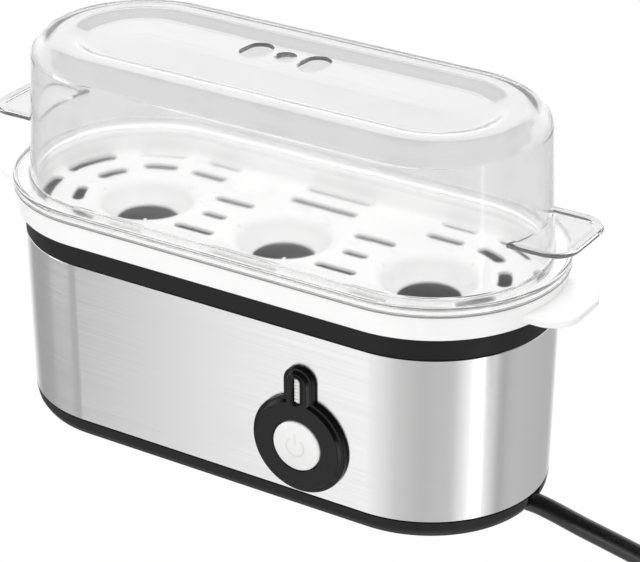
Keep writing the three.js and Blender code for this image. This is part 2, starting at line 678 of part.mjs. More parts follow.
function addHeatingBowl() {
  const sealRadius = BAND_INSIDE_RADIUS - SIDE_GAP - BOWL_WALL;
  addPiece('bowl_seal', spineSweep([
    [sealRadius - SEAL_WIDTH, SEAL_Z], [sealRadius, SEAL_Z],
    [sealRadius, SEAL_Z + SEAL_HEIGHT], [sealRadius - SEAL_WIDTH, SEAL_Z + SEAL_HEIGHT],
  ], INNER_END_STEPS), materials.silicone);
  const lipZ = FLANGE_TOP - BOWL_LIP_ROUND;
  const inner = [
    [0, BOWL_Z],
    ...arcPoints(BOWL_FLOOR_RADIUS, BOWL_Z + BOWL_CORNER, BOWL_CORNER, -90, 0, BEND_STEPS),
    ...arcPoints(BOWL_LIP_RADIUS, lipZ, BOWL_LIP_ROUND, 180, 90, LIP_STEPS),
    [BOWL_FLANGE_RADIUS, FLANGE_TOP],
  ];
  const outer = [
    [BOWL_FLANGE_RADIUS, FLANGE_Z],
    ...arcPoints(BOWL_LIP_RADIUS, lipZ, BOWL_LIP_ROUND - BOWL_WALL, 90, 180, LIP_STEPS),
    ...arcPoints(BOWL_FLOOR_RADIUS, BOWL_Z + BOWL_CORNER, BOWL_CORNER + BOWL_WALL, 0, -90, BEND_STEPS),
    [0, BOWL_BOTTOM],
  ];
  const profile = [...outer.reverse(), ...inner.reverse()];
  addPiece('heating_bowl', spineSweep(profile, INNER_END_STEPS), materials.bowl);
}

// The heater hangs under the bowl as one long loop, with its two ends turned down
const HEATER_Z = BOWL_BOTTOM - SEAT_GAP - HEATER_RADIUS;
const HEATER_END_Z = HEATER_Z - HEATER_END_DROP;

function addHeater() {
  const end = elbow(HEATER_END_X, HEATER_Z - HEATER_BEND, HEATER_BEND, 0, 90);
  const side = [
    [HEATER_END_X, HEATER_END_Z], ...end, [HEATER_END_X - 2 * HEATER_BEND, HEATER_Z], [0, HEATER_Z],
  ];
  const farEnd = arcPoints(-HEATER_REACH, 0, HEATER_SPREAD, 270, 90, HEATER_LOOP_STEPS)
    .map(([x, y]) => [x, y, HEATER_Z]);
  addPiece('heater_tube', tube([
    ...side.map(([x, z]) => [x, -HEATER_SPREAD, z]), ...farEnd,
    ...side.map(([x, z]) => [x, HEATER_SPREAD, z]).reverse(),
  ], HEATER_RADIUS, TUBE_SIDES, HEATER_STEPS), materials.zinc);
  const strapTop = HEATER_Z - HEATER_RADIUS - SEAT_GAP;
  const strapZ = strapTop - CLIP_SHEET;
  const legHeight = BOWL_BOTTOM - SEAT_GAP;
  const leg = block(CLIP_WIDTH, CLIP_SHEET, strapZ, legHeight);
  const clip = block(CLIP_WIDTH, 2 * CLIP_HALF_SPAN, strapZ, strapTop)
    .add(leg.translate([0, CLIP_HALF_SPAN - CLIP_SHEET / 2, 0]))
    .add(leg.translate([0, CLIP_SHEET / 2 - CLIP_HALF_SPAN, 0]));
  addPiece('heater_clip_right', clip, materials.zinc).position.set(CLIP_X, 0, 0);
  addPiece('heater_clip_left', clip, materials.zinc).position.set(-CLIP_X, 0, 0);
}

const THERMOSTAT_Z = BOWL_BOTTOM - SEAT_GAP - THERMOSTAT_PLATE - THERMOSTAT_BODY;

function addThermostat() {
  const plateZ = THERMOSTAT_Z + THERMOSTAT_BODY;
  const plateTop = plateZ + THERMOSTAT_PLATE;
  const blade = block(BLADE_SHEET, BLADE_WIDTH, THERMOSTAT_Z - BLADE_LENGTH, THERMOSTAT_Z + OVERRUN);
  const body = turned([
    [0, THERMOSTAT_Z], [THERMOSTAT_BODY_RADIUS, THERMOSTAT_Z], [THERMOSTAT_BODY_RADIUS, plateZ],
    [THERMOSTAT_RADIUS, plateZ], [THERMOSTAT_RADIUS, plateTop], [0, plateTop],
  ], ROUND_STEPS / 2)
    .add(blade.translate([BLADE_SPREAD, 0, 0]))
    .add(blade.translate([-BLADE_SPREAD, 0, 0]));
  addPiece('thermostat', body, materials.zinc);
  const fuse = cylinder(FUSE_RADIUS, -FUSE_LENGTH / 2, FUSE_LENGTH / 2, SMALL_STEPS).rotate([0, 90, 0]);
  addPiece('thermal_fuse', fuse, materials.zinc)
    .position.set(FUSE_X, 0, BOWL_BOTTOM - SEAT_GAP - FUSE_RADIUS);
}

// The outline of the bezel: a disc with a round-topped hood over it
function bezelShape(radius, hoodHalfWidth, hoodTop) {
  const shape = new THREE.Shape();
  const foot = Math.sqrt(radius ** 2 - hoodHalfWidth ** 2);
  const start = Math.atan2(foot, hoodHalfWidth);
  shape.moveTo(hoodHalfWidth, foot);
  shape.absarc(0, hoodTop - hoodHalfWidth, hoodHalfWidth, 0, Math.PI, false);
  shape.lineTo(-hoodHalfWidth, foot);
  shape.absarc(0, 0, radius, Math.PI - start, 2 * Math.PI + start, false);
  return shape;
}

function addBezel() {
  const flangeFrom = SEAT_GAP - 2 * BEZEL_ROUND;
  const behind = block(2 * HOOD_TOP, 2 * (HOOD_TOP + OVERRUN), flangeFrom - OVERRUN, SEAT_GAP);
  const outline = bezelShape(BEZEL_RADIUS, HOOD_HALF_WIDTH, HOOD_TOP);
  const faceTop = HOOD_TOP - (HOOD_HALF_WIDTH - HOOD_FACE_HALF_WIDTH);
  const face = bezelShape(BEZEL_FACE_RADIUS, HOOD_FACE_HALF_WIDTH, faceTop);
  const slotted = (length, width, from, to) => (
    raised(slotShape(length, width), from, to, SLOT_STEPS).rotate([0, 0, 90]).translate([0, WINDOW_Y, 0])
  );
  const frameTop = BEZEL_FACE + WINDOW_FRAME_RISE;
  const frameSides = 2 * WINDOW_FRAME;
  const frame = slotted(WINDOW_LENGTH + frameSides, WINDOW_WIDTH + frameSides, SEAT_GAP, frameTop);
  const lampBox = slotted(LAMP_BOX_LENGTH, LAMP_BOX_WIDTH, -LAMP_BOX_DEPTH, BEZEL_FLANGE);
  const lampCell = slotted(LAMP_CELL_LENGTH, LAMP_CELL_WIDTH, -LAMP_BOX_DEPTH - OVERRUN, -LENS_BACK);
  const window = slotted(WINDOW_LENGTH, WINDOW_WIDTH, -LENS_BACK - OVERRUN, frameTop + OVERRUN);
  const guide = cylinder(GUIDE_RADIUS, -GUIDE_DEPTH, BEZEL_FLANGE);
  const bore = cylinder(BUTTON_BORE_RADIUS, -GUIDE_DEPTH - OVERRUN, BEZEL_FACE + OVERRUN);
  const body = roundedPlate(outline, flangeFrom, SEAT_GAP + BEZEL_FLANGE, BEZEL_ROUND, PANEL_STEPS)
    .subtract(behind)
    .add(roundedPlate(face, SEAT_GAP, BEZEL_FACE, BEZEL_FACE_ROUND, PANEL_STEPS, 1))
    .add(frame).add(guide).add(lampBox)
    .subtract(bore).subtract(window).subtract(lampCell);
  addPiece('bezel', body, materials.black, panel);
  const lensTop = BEZEL_FACE - LENS_SUNK;
  const lens = slotted(WINDOW_LENGTH - 2 * SIDE_GAP, WINDOW_WIDTH - 2 * SIDE_GAP, -LENS_BACK, lensTop);
  addPiece('indicator_lens', lens, materials.white, panel);
  const bulbEnd = LAMP_LENGTH / 2;
  const bulb = turned([
    [0, -bulbEnd], [LAMP_RADIUS / 2, -bulbEnd], [LAMP_RADIUS, LAMP_RADIUS / 2 - bulbEnd],
    [LAMP_RADIUS, bulbEnd - LAMP_RADIUS], [LAMP_RADIUS / 2, bulbEnd], [0, bulbEnd],
  ], SMALL_STEPS).rotate([90, 0, 0]);
  addPiece('indicator_lamp', bulb, materials.glass, panel)
    .position.set(0, WINDOW_Y, -LENS_BACK - SEAT_GAP - LAMP_RADIUS);
}

function addButtonAndSwitch() {
  const buttonRadius = BUTTON_BORE_RADIUS - SIDE_GAP;
  const flangeZ = -GUIDE_DEPTH - SEAT_GAP;
  const insideRadius = buttonRadius - BUTTON_WALL;
  const insideTop = BUTTON_RIM - BUTTON_WALL;
  const crown = BUTTON_RIM + BUTTON_CROWN;
  const button = turned([
    [0, -BUTTON_STEM_END], [BUTTON_STEM_RADIUS, -BUTTON_STEM_END], [BUTTON_STEM_RADIUS, insideTop],
    [insideRadius, insideTop], [insideRadius, flangeZ - BUTTON_FLANGE],
    [BUTTON_FLANGE_RADIUS, flangeZ - BUTTON_FLANGE], [BUTTON_FLANGE_RADIUS, flangeZ], [buttonRadius, flangeZ],
    [buttonRadius, BUTTON_RIM - BUTTON_ROUND], [buttonRadius - BUTTON_ROUND, BUTTON_RIM],
    [buttonRadius / 2, crown - BUTTON_CROWN / 4], [0, crown],
  ]);
  addPiece('power_button', button, materials.white, panel);
  const plungerFrom = -BUTTON_STEM_END - SEAT_GAP;
  const plungerEnd = plungerFrom - PLUNGER_LENGTH;
  const plunger = block(PLUNGER_WIDTH, PLUNGER_WIDTH, plungerEnd, plungerFrom);
  addPiece('switch_plunger', plunger, materials.brown, panel);
  const socketWidth = PLUNGER_WIDTH + 2 * SIDE_GAP;
  const switchBack = -SWITCH_FRONT - SWITCH_DEPTH;
  const blade = block(BLADE_SHEET, BLADE_WIDTH, switchBack - BLADE_LENGTH, switchBack);
  const bodyShape = block(SWITCH_WIDTH, SWITCH_HEIGHT, switchBack, -SWITCH_FRONT)
    .add(blade.translate([SWITCH_BLADE_SPREAD, 0, 0]))
    .add(blade.translate([-SWITCH_BLADE_SPREAD, 0, 0]))
    .subtract(block(socketWidth, socketWidth, plungerEnd - BUTTON_TRAVEL - OVERRUN, -SWITCH_FRONT + OVERRUN));
  addPiece('switch_body', bodyShape, materials.black, panel);
  const plateFrom = -SWITCH_FRONT + SEAT_GAP;
  const legX = (BRACKET_WIDTH - BRACKET_SHEET) / 2;
  const cheekX = (SWITCH_WIDTH + BRACKET_SHEET) / 2 + SIDE_GAP;
  const leg = block(BRACKET_SHEET, BRACKET_HEIGHT, plateFrom, -SLEEVE_WALL - SEAT_GAP);
  const cheek = block(BRACKET_SHEET, BRACKET_HEIGHT, plateFrom - BRACKET_CHEEK, plateFrom);
  const bracket = block(BRACKET_WIDTH, BRACKET_HEIGHT, plateFrom, plateFrom + BRACKET_SHEET)
    .add(leg.translate([legX, 0, 0])).add(leg.translate([-legX, 0, 0]))
    .add(cheek.translate([cheekX, 0, 0])).add(cheek.translate([-cheekX, 0, 0]))
    .subtract(block(socketWidth, socketWidth, plateFrom - OVERRUN, plateFrom + BRACKET_SHEET + OVERRUN));
  addPiece('switch_bracket', bracket, materials.zinc, panel);
}

function addCordEntry() {
  const topZ = CORD_EXIT_Z + GROMMET_RISE;
  const bend = elbow(GROMMET_INNER_X, CORD_EXIT_Z + GROMMET_BEND, GROMMET_BEND, 270, 180);
  const line = [
    [GROMMET_OUTER_X, CORD_EXIT_Z], [GROMMET_INNER_X + 2 * GROMMET_BEND, CORD_EXIT_Z],
    ...bend, [GROMMET_INNER_X, topZ],
  ].map(([x, z]) => [x, 0, z]);
  addPiece('strain_relief', tube(line, GROMMET_RADIUS, TUBE_SIDES, GROMMET_STEPS), materials.rubber);
  const clampZ = CORD_EXIT_Z + GROMMET_RADIUS + SEAT_GAP;
  const clampTop = clampZ + CLAMP_SHEET;
  const hole = cylinder(CLAMP_SCREW_RADIUS + SIDE_GAP, clampZ - OVERRUN, clampTop + OVERRUN, SMALL_STEPS);
  const clamp = raised(slotShape(2 * CLAMP_HALF_SPAN, CLAMP_WIDTH), clampZ, clampTop, SLOT_STEPS)
    .rotate([0, 0, 90])
    .subtract(hole.translate([0, CLAMP_SCREW_Y, 0]))
    .subtract(hole.translate([0, -CLAMP_SCREW_Y, 0]));
  addPiece('cord_clamp', clamp, materials.black).position.set(CLAMP_X, 0, 0);
  const headZ = clampTop + SEAT_GAP;
  const headTop = headZ + CLAMP_HEAD_HEIGHT;
  const tipZ = headZ - CLAMP_SCREW_LENGTH;
  const screw = turned([
    [0, tipZ], [CLAMP_SCREW_RADIUS, tipZ], [CLAMP_SCREW_RADIUS, headZ],
    [CLAMP_HEAD_RADIUS, headZ], [CLAMP_HEAD_RADIUS, headTop], [0, headTop],
  ], SMALL_STEPS);
  addPiece('clamp_screw_1', screw, materials.zinc).position.set(CLAMP_X, CLAMP_SCREW_Y, 0);
  addPiece('clamp_screw_2', screw, materials.zinc).position.set(CLAMP_X, -CLAMP_SCREW_Y, 0);
}

// Leads from the cord to the switch, from there over the thermostat and the fuse to the heater, and back
function addLeads() {
  const startZ = CORD_EXIT_Z + GROMMET_RISE + SEAT_GAP;
  const spread = 2 * LEAD_RADIUS + SIDE_GAP;
  const heaterZ = HEATER_END_Z - SEAT_GAP;
  const bladeZ = THERMOSTAT_Z - BLADE_LENGTH - SEAT_GAP;
  const midZ = (startZ + heaterZ) / 2;
  const tipDepth = SWITCH_FRONT + SWITCH_DEPTH + BLADE_LENGTH + SEAT_GAP;
  const live = panel.localToWorld(new THREE.Vector3(SWITCH_BLADE_SPREAD, 0, -tipDepth));
  const switched = panel.localToWorld(new THREE.Vector3(-SWITCH_BLADE_SPREAD, 0, -tipDepth));
  const slack = BLADE_LENGTH;
  const leads = {
    lead_live: [materials.brown, [
      [GROMMET_INNER_X, -spread, startZ], [GROMMET_INNER_X, -spread, startZ + slack],
      [(GROMMET_INNER_X + live.x) / 2, live.y + slack, midZ], [live.x, live.y + slack, live.z],
      live.toArray(),
    ]],
    lead_switched: [materials.brown, [
      switched.toArray(), [switched.x, switched.y + slack, switched.z],
      [switched.x / 2, 0, (switched.z + bladeZ) / 2], [BLADE_SPREAD, 0, bladeZ - slack],
      [BLADE_SPREAD, 0, bladeZ],
    ]],
    lead_fuse: [materials.brown, [
      [-BLADE_SPREAD, 0, bladeZ], [-BLADE_SPREAD, 0, bladeZ - slack], [0, -HEATER_SPREAD / 2, bladeZ - slack],
      [HEATER_END_X / 2, -HEATER_SPREAD, bladeZ - slack], [HEATER_END_X, -HEATER_SPREAD, bladeZ - slack],
      [HEATER_END_X, -HEATER_SPREAD, heaterZ],
    ]],
    lead_neutral: [materials.blue, [
      [GROMMET_INNER_X, spread, startZ], [GROMMET_INNER_X, spread, startZ + slack],
      [HEATER_END_X, HEATER_SPREAD, midZ], [HEATER_END_X, HEATER_SPREAD, heaterZ],
    ]],
    lead_earth: [materials.green, [
      [GROMMET_INNER_X, 0, startZ], [GROMMET_INNER_X, 0, startZ + slack],
      [GROMMET_INNER_X - slack, 0, midZ], [GROMMET_INNER_X - slack, 0, BOWL_BOTTOM - SEAT_GAP],
    ]],
  };
  for (const [name, [material, points]] of Object.entries(leads)) {
    addPiece(name, tube(points, LEAD_RADIUS, LEAD_SIDES, LEAD_STEPS), material);
  }
}

function traySlots() {
  const from = TRAY_Z - TRAY_FLOOR - OVERRUN;
  const to = TRAY_Z + OVERRUN;
  const cut = (shape, x, y) => raised(shape, from, to, SLOT_STEPS).translate([x, y, 0]);
  const slots = [];
  for (const side of [1, -1]) {
    for (const row of [INNER_ROW, OUTER_ROW]) {
      slots.push(cut(slotShape(MIDDLE_SLOT_LENGTH, SLOT_WIDTH), 0, side * row));
      slots.push(cut(slotShape(SIDE_SLOT_LENGTH, SLOT_WIDTH), SIDE_SLOT_X, side * row));
      slots.push(cut(slotShape(SIDE_SLOT_LENGTH, SLOT_WIDTH), -SIDE_SLOT_X, side * row));
    }
    slots.push(cut(slotShape(SHORT_SLOT_LENGTH, SLOT_WIDTH), side * CUP_PITCH / 2, 0));
    for (const y of [CROSS_SLOT_Y, -CROSS_SLOT_Y]) {
      slots.push(cut(slotShape(CROSS_SLOT_LENGTH, SLOT_WIDTH), side * CUP_PITCH / 2, y));
    }
    for (const [start, end] of INNER_SLOT_ANGLES) {
      const wide = side > 0 && start === INNER_SLOT_ANGLES[0][0];
      const row = wide ? WIDE_SLOT_ROW : INNER_ROW;
      const width = wide ? WIDE_SLOT_WIDTH : END_SLOT_WIDTH;
      slots.push(...endPair(cut(arcSlotShape(row, width, start, end), 0, 0), side));
    }
    for (const [start, end] of OUTER_SLOT_ANGLES) {
      slots.push(...endPair(cut(arcSlotShape(OUTER_ROW, END_SLOT_WIDTH, start, end), 0, 0), side));
    }
  }
  return slots;
}

// A cut of the end and its mirror image, both set round the end of the spine on one side
function endPair(shape, side) {
  const here = side > 0 ? shape : shape.mirror([1, 0, 0]);
  return [here, here.mirror([0, 1, 0])].map((copy) => copy.translate([side * SPINE, 0, 0]));
}

function addEggTray() {
  const skirtZ = TRAY_TOP - TRAY_SKIRT_HEIGHT;
  const floorZ = TRAY_Z - TRAY_FLOOR;
  const mouthRadius = TRAY_INSIDE_RADIUS + TRAY_WALL_DRAFT;
  let tray = spineSweep([
    [0, floorZ], [TRAY_RADIUS - TRAY_CORNER, floorZ], [TRAY_RADIUS, floorZ + TRAY_CORNER],
    [TRAY_RADIUS, TRAY_RIM_Z], [TRAY_RIM_RADIUS - TRAY_SKIRT_WALL, TRAY_RIM_Z],
    [TRAY_SKIRT_FOOT_RADIUS - TRAY_SKIRT_WALL, skirtZ],
    [TRAY_SKIRT_FOOT_RADIUS, skirtZ], [TRAY_RIM_RADIUS, TRAY_TOP - TRAY_RIM_ROUND],
    [TRAY_RIM_RADIUS - TRAY_RIM_ROUND, TRAY_TOP], [mouthRadius + TRAY_CORNER, TRAY_TOP],
    [mouthRadius, TRAY_TOP - TRAY_CORNER], [TRAY_INSIDE_RADIUS, TRAY_Z + TRAY_CORNER],
    [TRAY_INSIDE_RADIUS - TRAY_CORNER, TRAY_Z], [0, TRAY_Z],
  ]);
  const tabTop = TRAY_TOP - TRAY_TAB_DROP;
  const tabOutline = tabShape(TRAY_TAB_REACH, TRAY_TAB_HALF_WIDTH, TRAY_TAB_ROUND);
  const tab = roundedPlate(tabOutline, tabTop - TRAY_TAB_SHEET, tabTop, TAB_BEVEL, TAB_STEPS, 1)
    .translate([SPINE, 0, 0]);
  const insideSkirt = spineSweep([
    [0, skirtZ], [TRAY_SKIRT_FOOT_RADIUS - TRAY_SKIRT_WALL / 2, skirtZ],
    [TRAY_RIM_RADIUS - TRAY_SKIRT_WALL / 2, TRAY_TOP], [0, TRAY_TOP],
  ]);
  tray = tray.add(atBothEnds(tab.subtract(insideSkirt)));
  const centreZ = TRAY_Z + CUP_RISE;
  const slopeAngle = (radius, depth) => THREE.MathUtils.radToDeg(Math.asin(-depth / radius));
  const outerRadius = EGG_RADIUS + CUP_WALL;
  const holeDepth = Math.sqrt(EGG_RADIUS ** 2 - CUP_HOLE_RADIUS ** 2);
  const shellFrom = slopeAngle(outerRadius, holeDepth + CUP_WALL / 2);
  const shellTo = slopeAngle(outerRadius, CUP_RISE + TRAY_FLOOR / 2);
  const shell = arcPoints(0, centreZ, outerRadius, shellFrom, shellTo, CUP_ARC_STEPS);
  const shellTop = shell[shell.length - 1][1];
  const bowlFrom = slopeAngle(EGG_RADIUS, holeDepth);
  const bowlTo = slopeAngle(EGG_RADIUS, CUP_RISE - LUG_HEIGHT);
  const bowl = arcPoints(0, centreZ, EGG_RADIUS, bowlFrom, bowlTo, CUP_ARC_STEPS);
  const lug = cylinder(LUG_RADIUS, TRAY_Z - OVERRUN, TRAY_Z + LUG_HEIGHT, SMALL_STEPS / 2);
  const lipRadius = Math.sqrt(EGG_RADIUS ** 2 - CUP_RISE ** 2);
  let cup = turned([[0, shell[0][1]], ...shell, [0, shellTop]], CUP_STEPS);
  for (const angle of LUG_ANGLES) {
    cup = cup.add(lug.translate([lipRadius + LUG_RADIUS / 2, 0, 0]).rotate([0, 0, angle]));
  }
  const seatRadius = bowl[bowl.length - 1][0];
  const hollow = turned([[0, bowl[0][1]], ...bowl, [seatRadius, TRAY_TOP], [0, TRAY_TOP]], CUP_STEPS)
    .add(cylinder(CUP_HOLE_RADIUS, shell[0][1] - OVERRUN, TRAY_Z, CUP_STEPS));
  for (const x of [-CUP_PITCH, 0, CUP_PITCH]) {
    tray = tray.add(cup.translate([x, 0, 0])).subtract(hollow.translate([x, 0, 0]));
  }
  const dimpleRadius = (DIMPLE_RADIUS ** 2 + DIMPLE_DEPTH ** 2) / (2 * DIMPLE_DEPTH);
  const dimpleCentre = TRAY_Z + dimpleRadius - DIMPLE_DEPTH;
  const dimpleEdge = slopeAngle(dimpleRadius, dimpleRadius - DIMPLE_DEPTH);
  const dimple = turned([
    [0, TRAY_Z - DIMPLE_DEPTH],
    ...arcPoints(0, dimpleCentre, dimpleRadius, -90, dimpleEdge, BEND_STEPS).slice(1),
    [DIMPLE_RADIUS, TRAY_Z + OVERRUN], [0, TRAY_Z + OVERRUN],
  ], DIMPLE_STEPS);
  for (const [x, y] of inCorners(CUP_PITCH / 2, DIMPLE_Y)) {
    tray = tray.subtract(dimple.translate([x, y, 0]));
  }
  for (const slot of traySlots()) tray = tray.subtract(slot);
  addPiece('egg_tray', tray, materials.white);
}

function addLid() {
  const ceiling = LID_TOP - LID_WALL;
  const recessZ = LID_TOP - LID_RECESS_DEPTH;
  const recessFloorRadius = LID_RECESS_RADIUS - LID_RECESS_SLOPE;
  const flangeTop = LID_Z + LID_RIM_HEIGHT;
  const flangeZ = flangeTop - LID_WALL;
  const spigotZ = LID_Z - LID_SPIGOT_DEPTH;
  const insideShoulder = LID_SHOULDER_RADIUS - LID_WALL;
  const crown = (shoulder, top) => CROWN_SHARES.map(([across, up]) => [
    shoulder + (LID_CROWN_RADIUS - shoulder) * across, LID_SHOULDER_Z + (top - LID_SHOULDER_Z) * up,
  ]);
  const recessEdge = RECESS_SHARES.map(([across, down]) => [
    LID_RECESS_RADIUS - LID_RECESS_SLOPE * across, LID_TOP - LID_RECESS_DEPTH * down,
  ]);
  let lid = spineSweep([
    [0, recessZ - LID_WALL], [recessFloorRadius + LID_WALL / 2, recessZ - LID_WALL],
    [LID_RECESS_RADIUS + LID_WALL / 2, ceiling], ...crown(insideShoulder, ceiling).reverse(),
    [LID_FOOT_RADIUS - LID_WALL, flangeTop], [LID_SPIGOT_RADIUS - LID_WALL, spigotZ],
    [LID_SPIGOT_RADIUS - LID_SPIGOT_DRAFT, spigotZ], [LID_SPIGOT_RADIUS, spigotZ + LID_SPIGOT_DRAFT],
    [LID_SPIGOT_RADIUS, flangeZ],
    [LID_RIM_RADIUS - LID_RIM_LIP, flangeZ], [LID_RIM_RADIUS - LID_RIM_LIP, LID_Z], [LID_RIM_RADIUS, LID_Z],
    [LID_RIM_RADIUS, flangeTop - LID_RIM_BEVEL], [LID_RIM_RADIUS - LID_RIM_BEVEL, flangeTop],
    [LID_FOOT_RADIUS + LID_RIM_BEVEL, flangeTop], [LID_FOOT_RADIUS, flangeTop + LID_RIM_BEVEL],
    ...crown(LID_SHOULDER_RADIUS, LID_TOP), ...recessEdge, [0, recessZ],
  ]);
  const tabTop = LID_Z + LID_TAB_RISE;
  const tabZ = tabTop - LID_TAB_SHEET;
  const dish = tabShape(
    LID_TAB_REACH - LID_TAB_BORDER, LID_TAB_HALF_WIDTH - LID_TAB_BORDER, LID_TAB_ROUND - LID_TAB_BORDER,
  );
  const outline = tabShape(LID_TAB_REACH, LID_TAB_HALF_WIDTH, LID_TAB_ROUND);
  const wallSlope = (LID_SHOULDER_RADIUS - LID_FOOT_RADIUS) / (LID_SHOULDER_Z - flangeTop);
  const radiusAt = (z) => LID_FOOT_RADIUS + (z - flangeTop) * wallSlope;
  const wallCore = (inset, from, to) => spineSweep([
    [0, from], [radiusAt(from) - inset, from], [radiusAt(to) - inset, to], [0, to],
  ]);
  const dishCut = raised(dish, tabTop - LID_TAB_DISH, tabTop + OVERRUN, TAB_STEPS)
    .translate([SPINE, 0, 0])
    .subtract(wallCore(-LID_TAB_BORDER / 2, tabZ, tabTop + 2 * OVERRUN));
  const tab = roundedPlate(outline, tabZ, tabTop, TAB_BEVEL, TAB_STEPS, 1)
    .translate([SPINE, 0, 0])
    .subtract(dishCut)
    .subtract(wallCore(LID_WALL / 2, tabZ - OVERRUN, tabTop + OVERRUN));
  lid = lid.add(atBothEnds(tab));
  const ventBelow = recessZ - LID_WALL - OVERRUN;
  const vent = raised(slotShape(VENT_LENGTH, VENT_WIDTH), ventBelow, recessZ + OVERRUN, VENT_STEPS)
    .rotate([0, 0, 90]);
  const markShape = slotShape(VENT_MARK_LENGTH, VENT_MARK_WIDTH);
  const mark = raised(markShape, recessZ - VENT_MARK_DEPTH, recessZ + OVERRUN, VENT_STEPS).rotate([0, 0, 90]);
  lid = lid.subtract(vent.translate([VENT_X - VENT_SPREAD, VENT_Y, 0]))
    .subtract(vent.translate([VENT_X + VENT_SPREAD, VENT_Y, 0]))
    .subtract(mark.translate([VENT_X, VENT_Y, 0]));
  addPiece('lid', lid, materials.clear);
}

// The centre line of the coil: spirals in, climbs one layer where it turns, and spirals out above itself
function coilPoints(start, heading) {
  const up = new THREE.Vector3(0, 0, 1);
  const tilt = Math.atan2(COIL_PITCH, 2 * Math.PI * COIL_RADIUS);
  const inwards = heading.clone().applyAxisAngle(up, Math.PI / 2 - tilt);
  const begin = start.clone().addScaledVector(heading, 2 * CORD_RADIUS);
  const centre = begin.clone().addScaledVector(inwards, COIL_RADIUS);
  const halfWay = COIL_TURNS / 2;
  const points = [start.clone()];
  for (let step = 0; step <= COIL_TURNS * COIL_STEPS; step += 1) {
    const turns = step / COIL_STEPS;
    const radius = COIL_RADIUS - COIL_PITCH * Math.min(turns, COIL_TURNS - turns);
    const climb = THREE.MathUtils.smoothstep(turns, halfWay - 1 / 4, halfWay + 1 / 4);
    const spoke = inwards.clone().negate().applyAxisAngle(up, 2 * Math.PI * turns);
    points.push(centre.clone().addScaledVector(spoke, radius).setZ(start.z + COIL_PITCH * climb));
  }
  const outwards = heading.clone().applyAxisAngle(up, 2 * Math.PI * COIL_TURNS - 2 * tilt);
  points.push(points[points.length - 1].clone().addScaledVector(outwards, 2 * CORD_RADIUS));
  return { points, outwards };
}

// The least gap between two turns of a wound cord, measured on its centre line
function leastGap(points) {
  let least = Infinity;
  const apart = COIL_STEPS / 2;
  for (let a = 0; a < points.length; a += 1) {
    for (let b = a + apart; b < points.length; b += 1) {
      least = Math.min(least, points[a].distanceTo(points[b]));
    }
  }
  return least - 2 * CORD_RADIUS;
}

// A wound tube: a ring of points square to the centre line at each of its points, closed at both ends
function woundTube(points, radius, sides) {
  const up = new THREE.Vector3(0, 0, 1);
  const rows = points.map((point, at) => {
    const before = points[Math.max(at - 1, 0)];
    const after = points[Math.min(at + 1, points.length - 1)];
    const along = after.clone().sub(before).normalize();
    const across = along.clone().cross(up).normalize();
    const over = along.clone().cross(across);
    return Array.from({ length: sides }, (_, side) => {
      const angle = 2 * Math.PI * side / sides;
      return point.clone().addScaledVector(across, radius * Math.cos(angle))
        .addScaledVector(over, radius * Math.sin(angle)).toArray();
    });
  });
  const cap = (row) => row.map(() => (
    row.reduce((sum, corner) => sum.map((value, axis) => value + corner[axis] / row.length), [0, 0, 0])
  ));
  return solid(stitch([cap(rows[0]), ...rows, cap(rows[rows.length - 1])], false));
}

function addCord() {
  const route = CORD_ROUTE.map((point) => new THREE.Vector3(...point));
  const end = route[route.length - 1];
  const heading = end.clone().sub(route[route.length - 2]).setZ(0).normalize();
  addPiece('cord_run', tube(CORD_ROUTE, CORD_RADIUS, TUBE_SIDES, CORD_STEPS), materials.rubber);
  const coilStart = end.clone().addScaledVector(heading, SEAT_GAP);
  const { points, outwards } = coilPoints(coilStart, heading);
  console.log(`least gap between the turns of the coil: ${leastGap(points).toFixed(2)} mm`);
  addPiece('cord_coil', woundTube(points, CORD_RADIUS, COIL_SIDES), materials.rubber);
  const tailStart = points[points.length - 1].clone().addScaledVector(outwards, SEAT_GAP);
  const rise = PLUG_HEAD_RADIUS - tailStart.z;
  const tail = TAIL_SHARES.map((share, at) => (
    tailStart.clone().addScaledVector(outwards, TAIL_LENGTH * share)
      .setZ(tailStart.z + rise * TAIL_RISE_SHARES[at]).toArray()
  ));
  addPiece('cord_tail', tube(tail, CORD_RADIUS, TUBE_SIDES, TAIL_STEPS), materials.rubber);
  const plug = new THREE.Group();
  plug.position.fromArray(tail[tail.length - 1]).addScaledVector(outwards, SEAT_GAP);
  plug.rotation.z = Math.atan2(outwards.y, outwards.x);
  egg_cooker.add(plug);
  addPlug(plug);
}

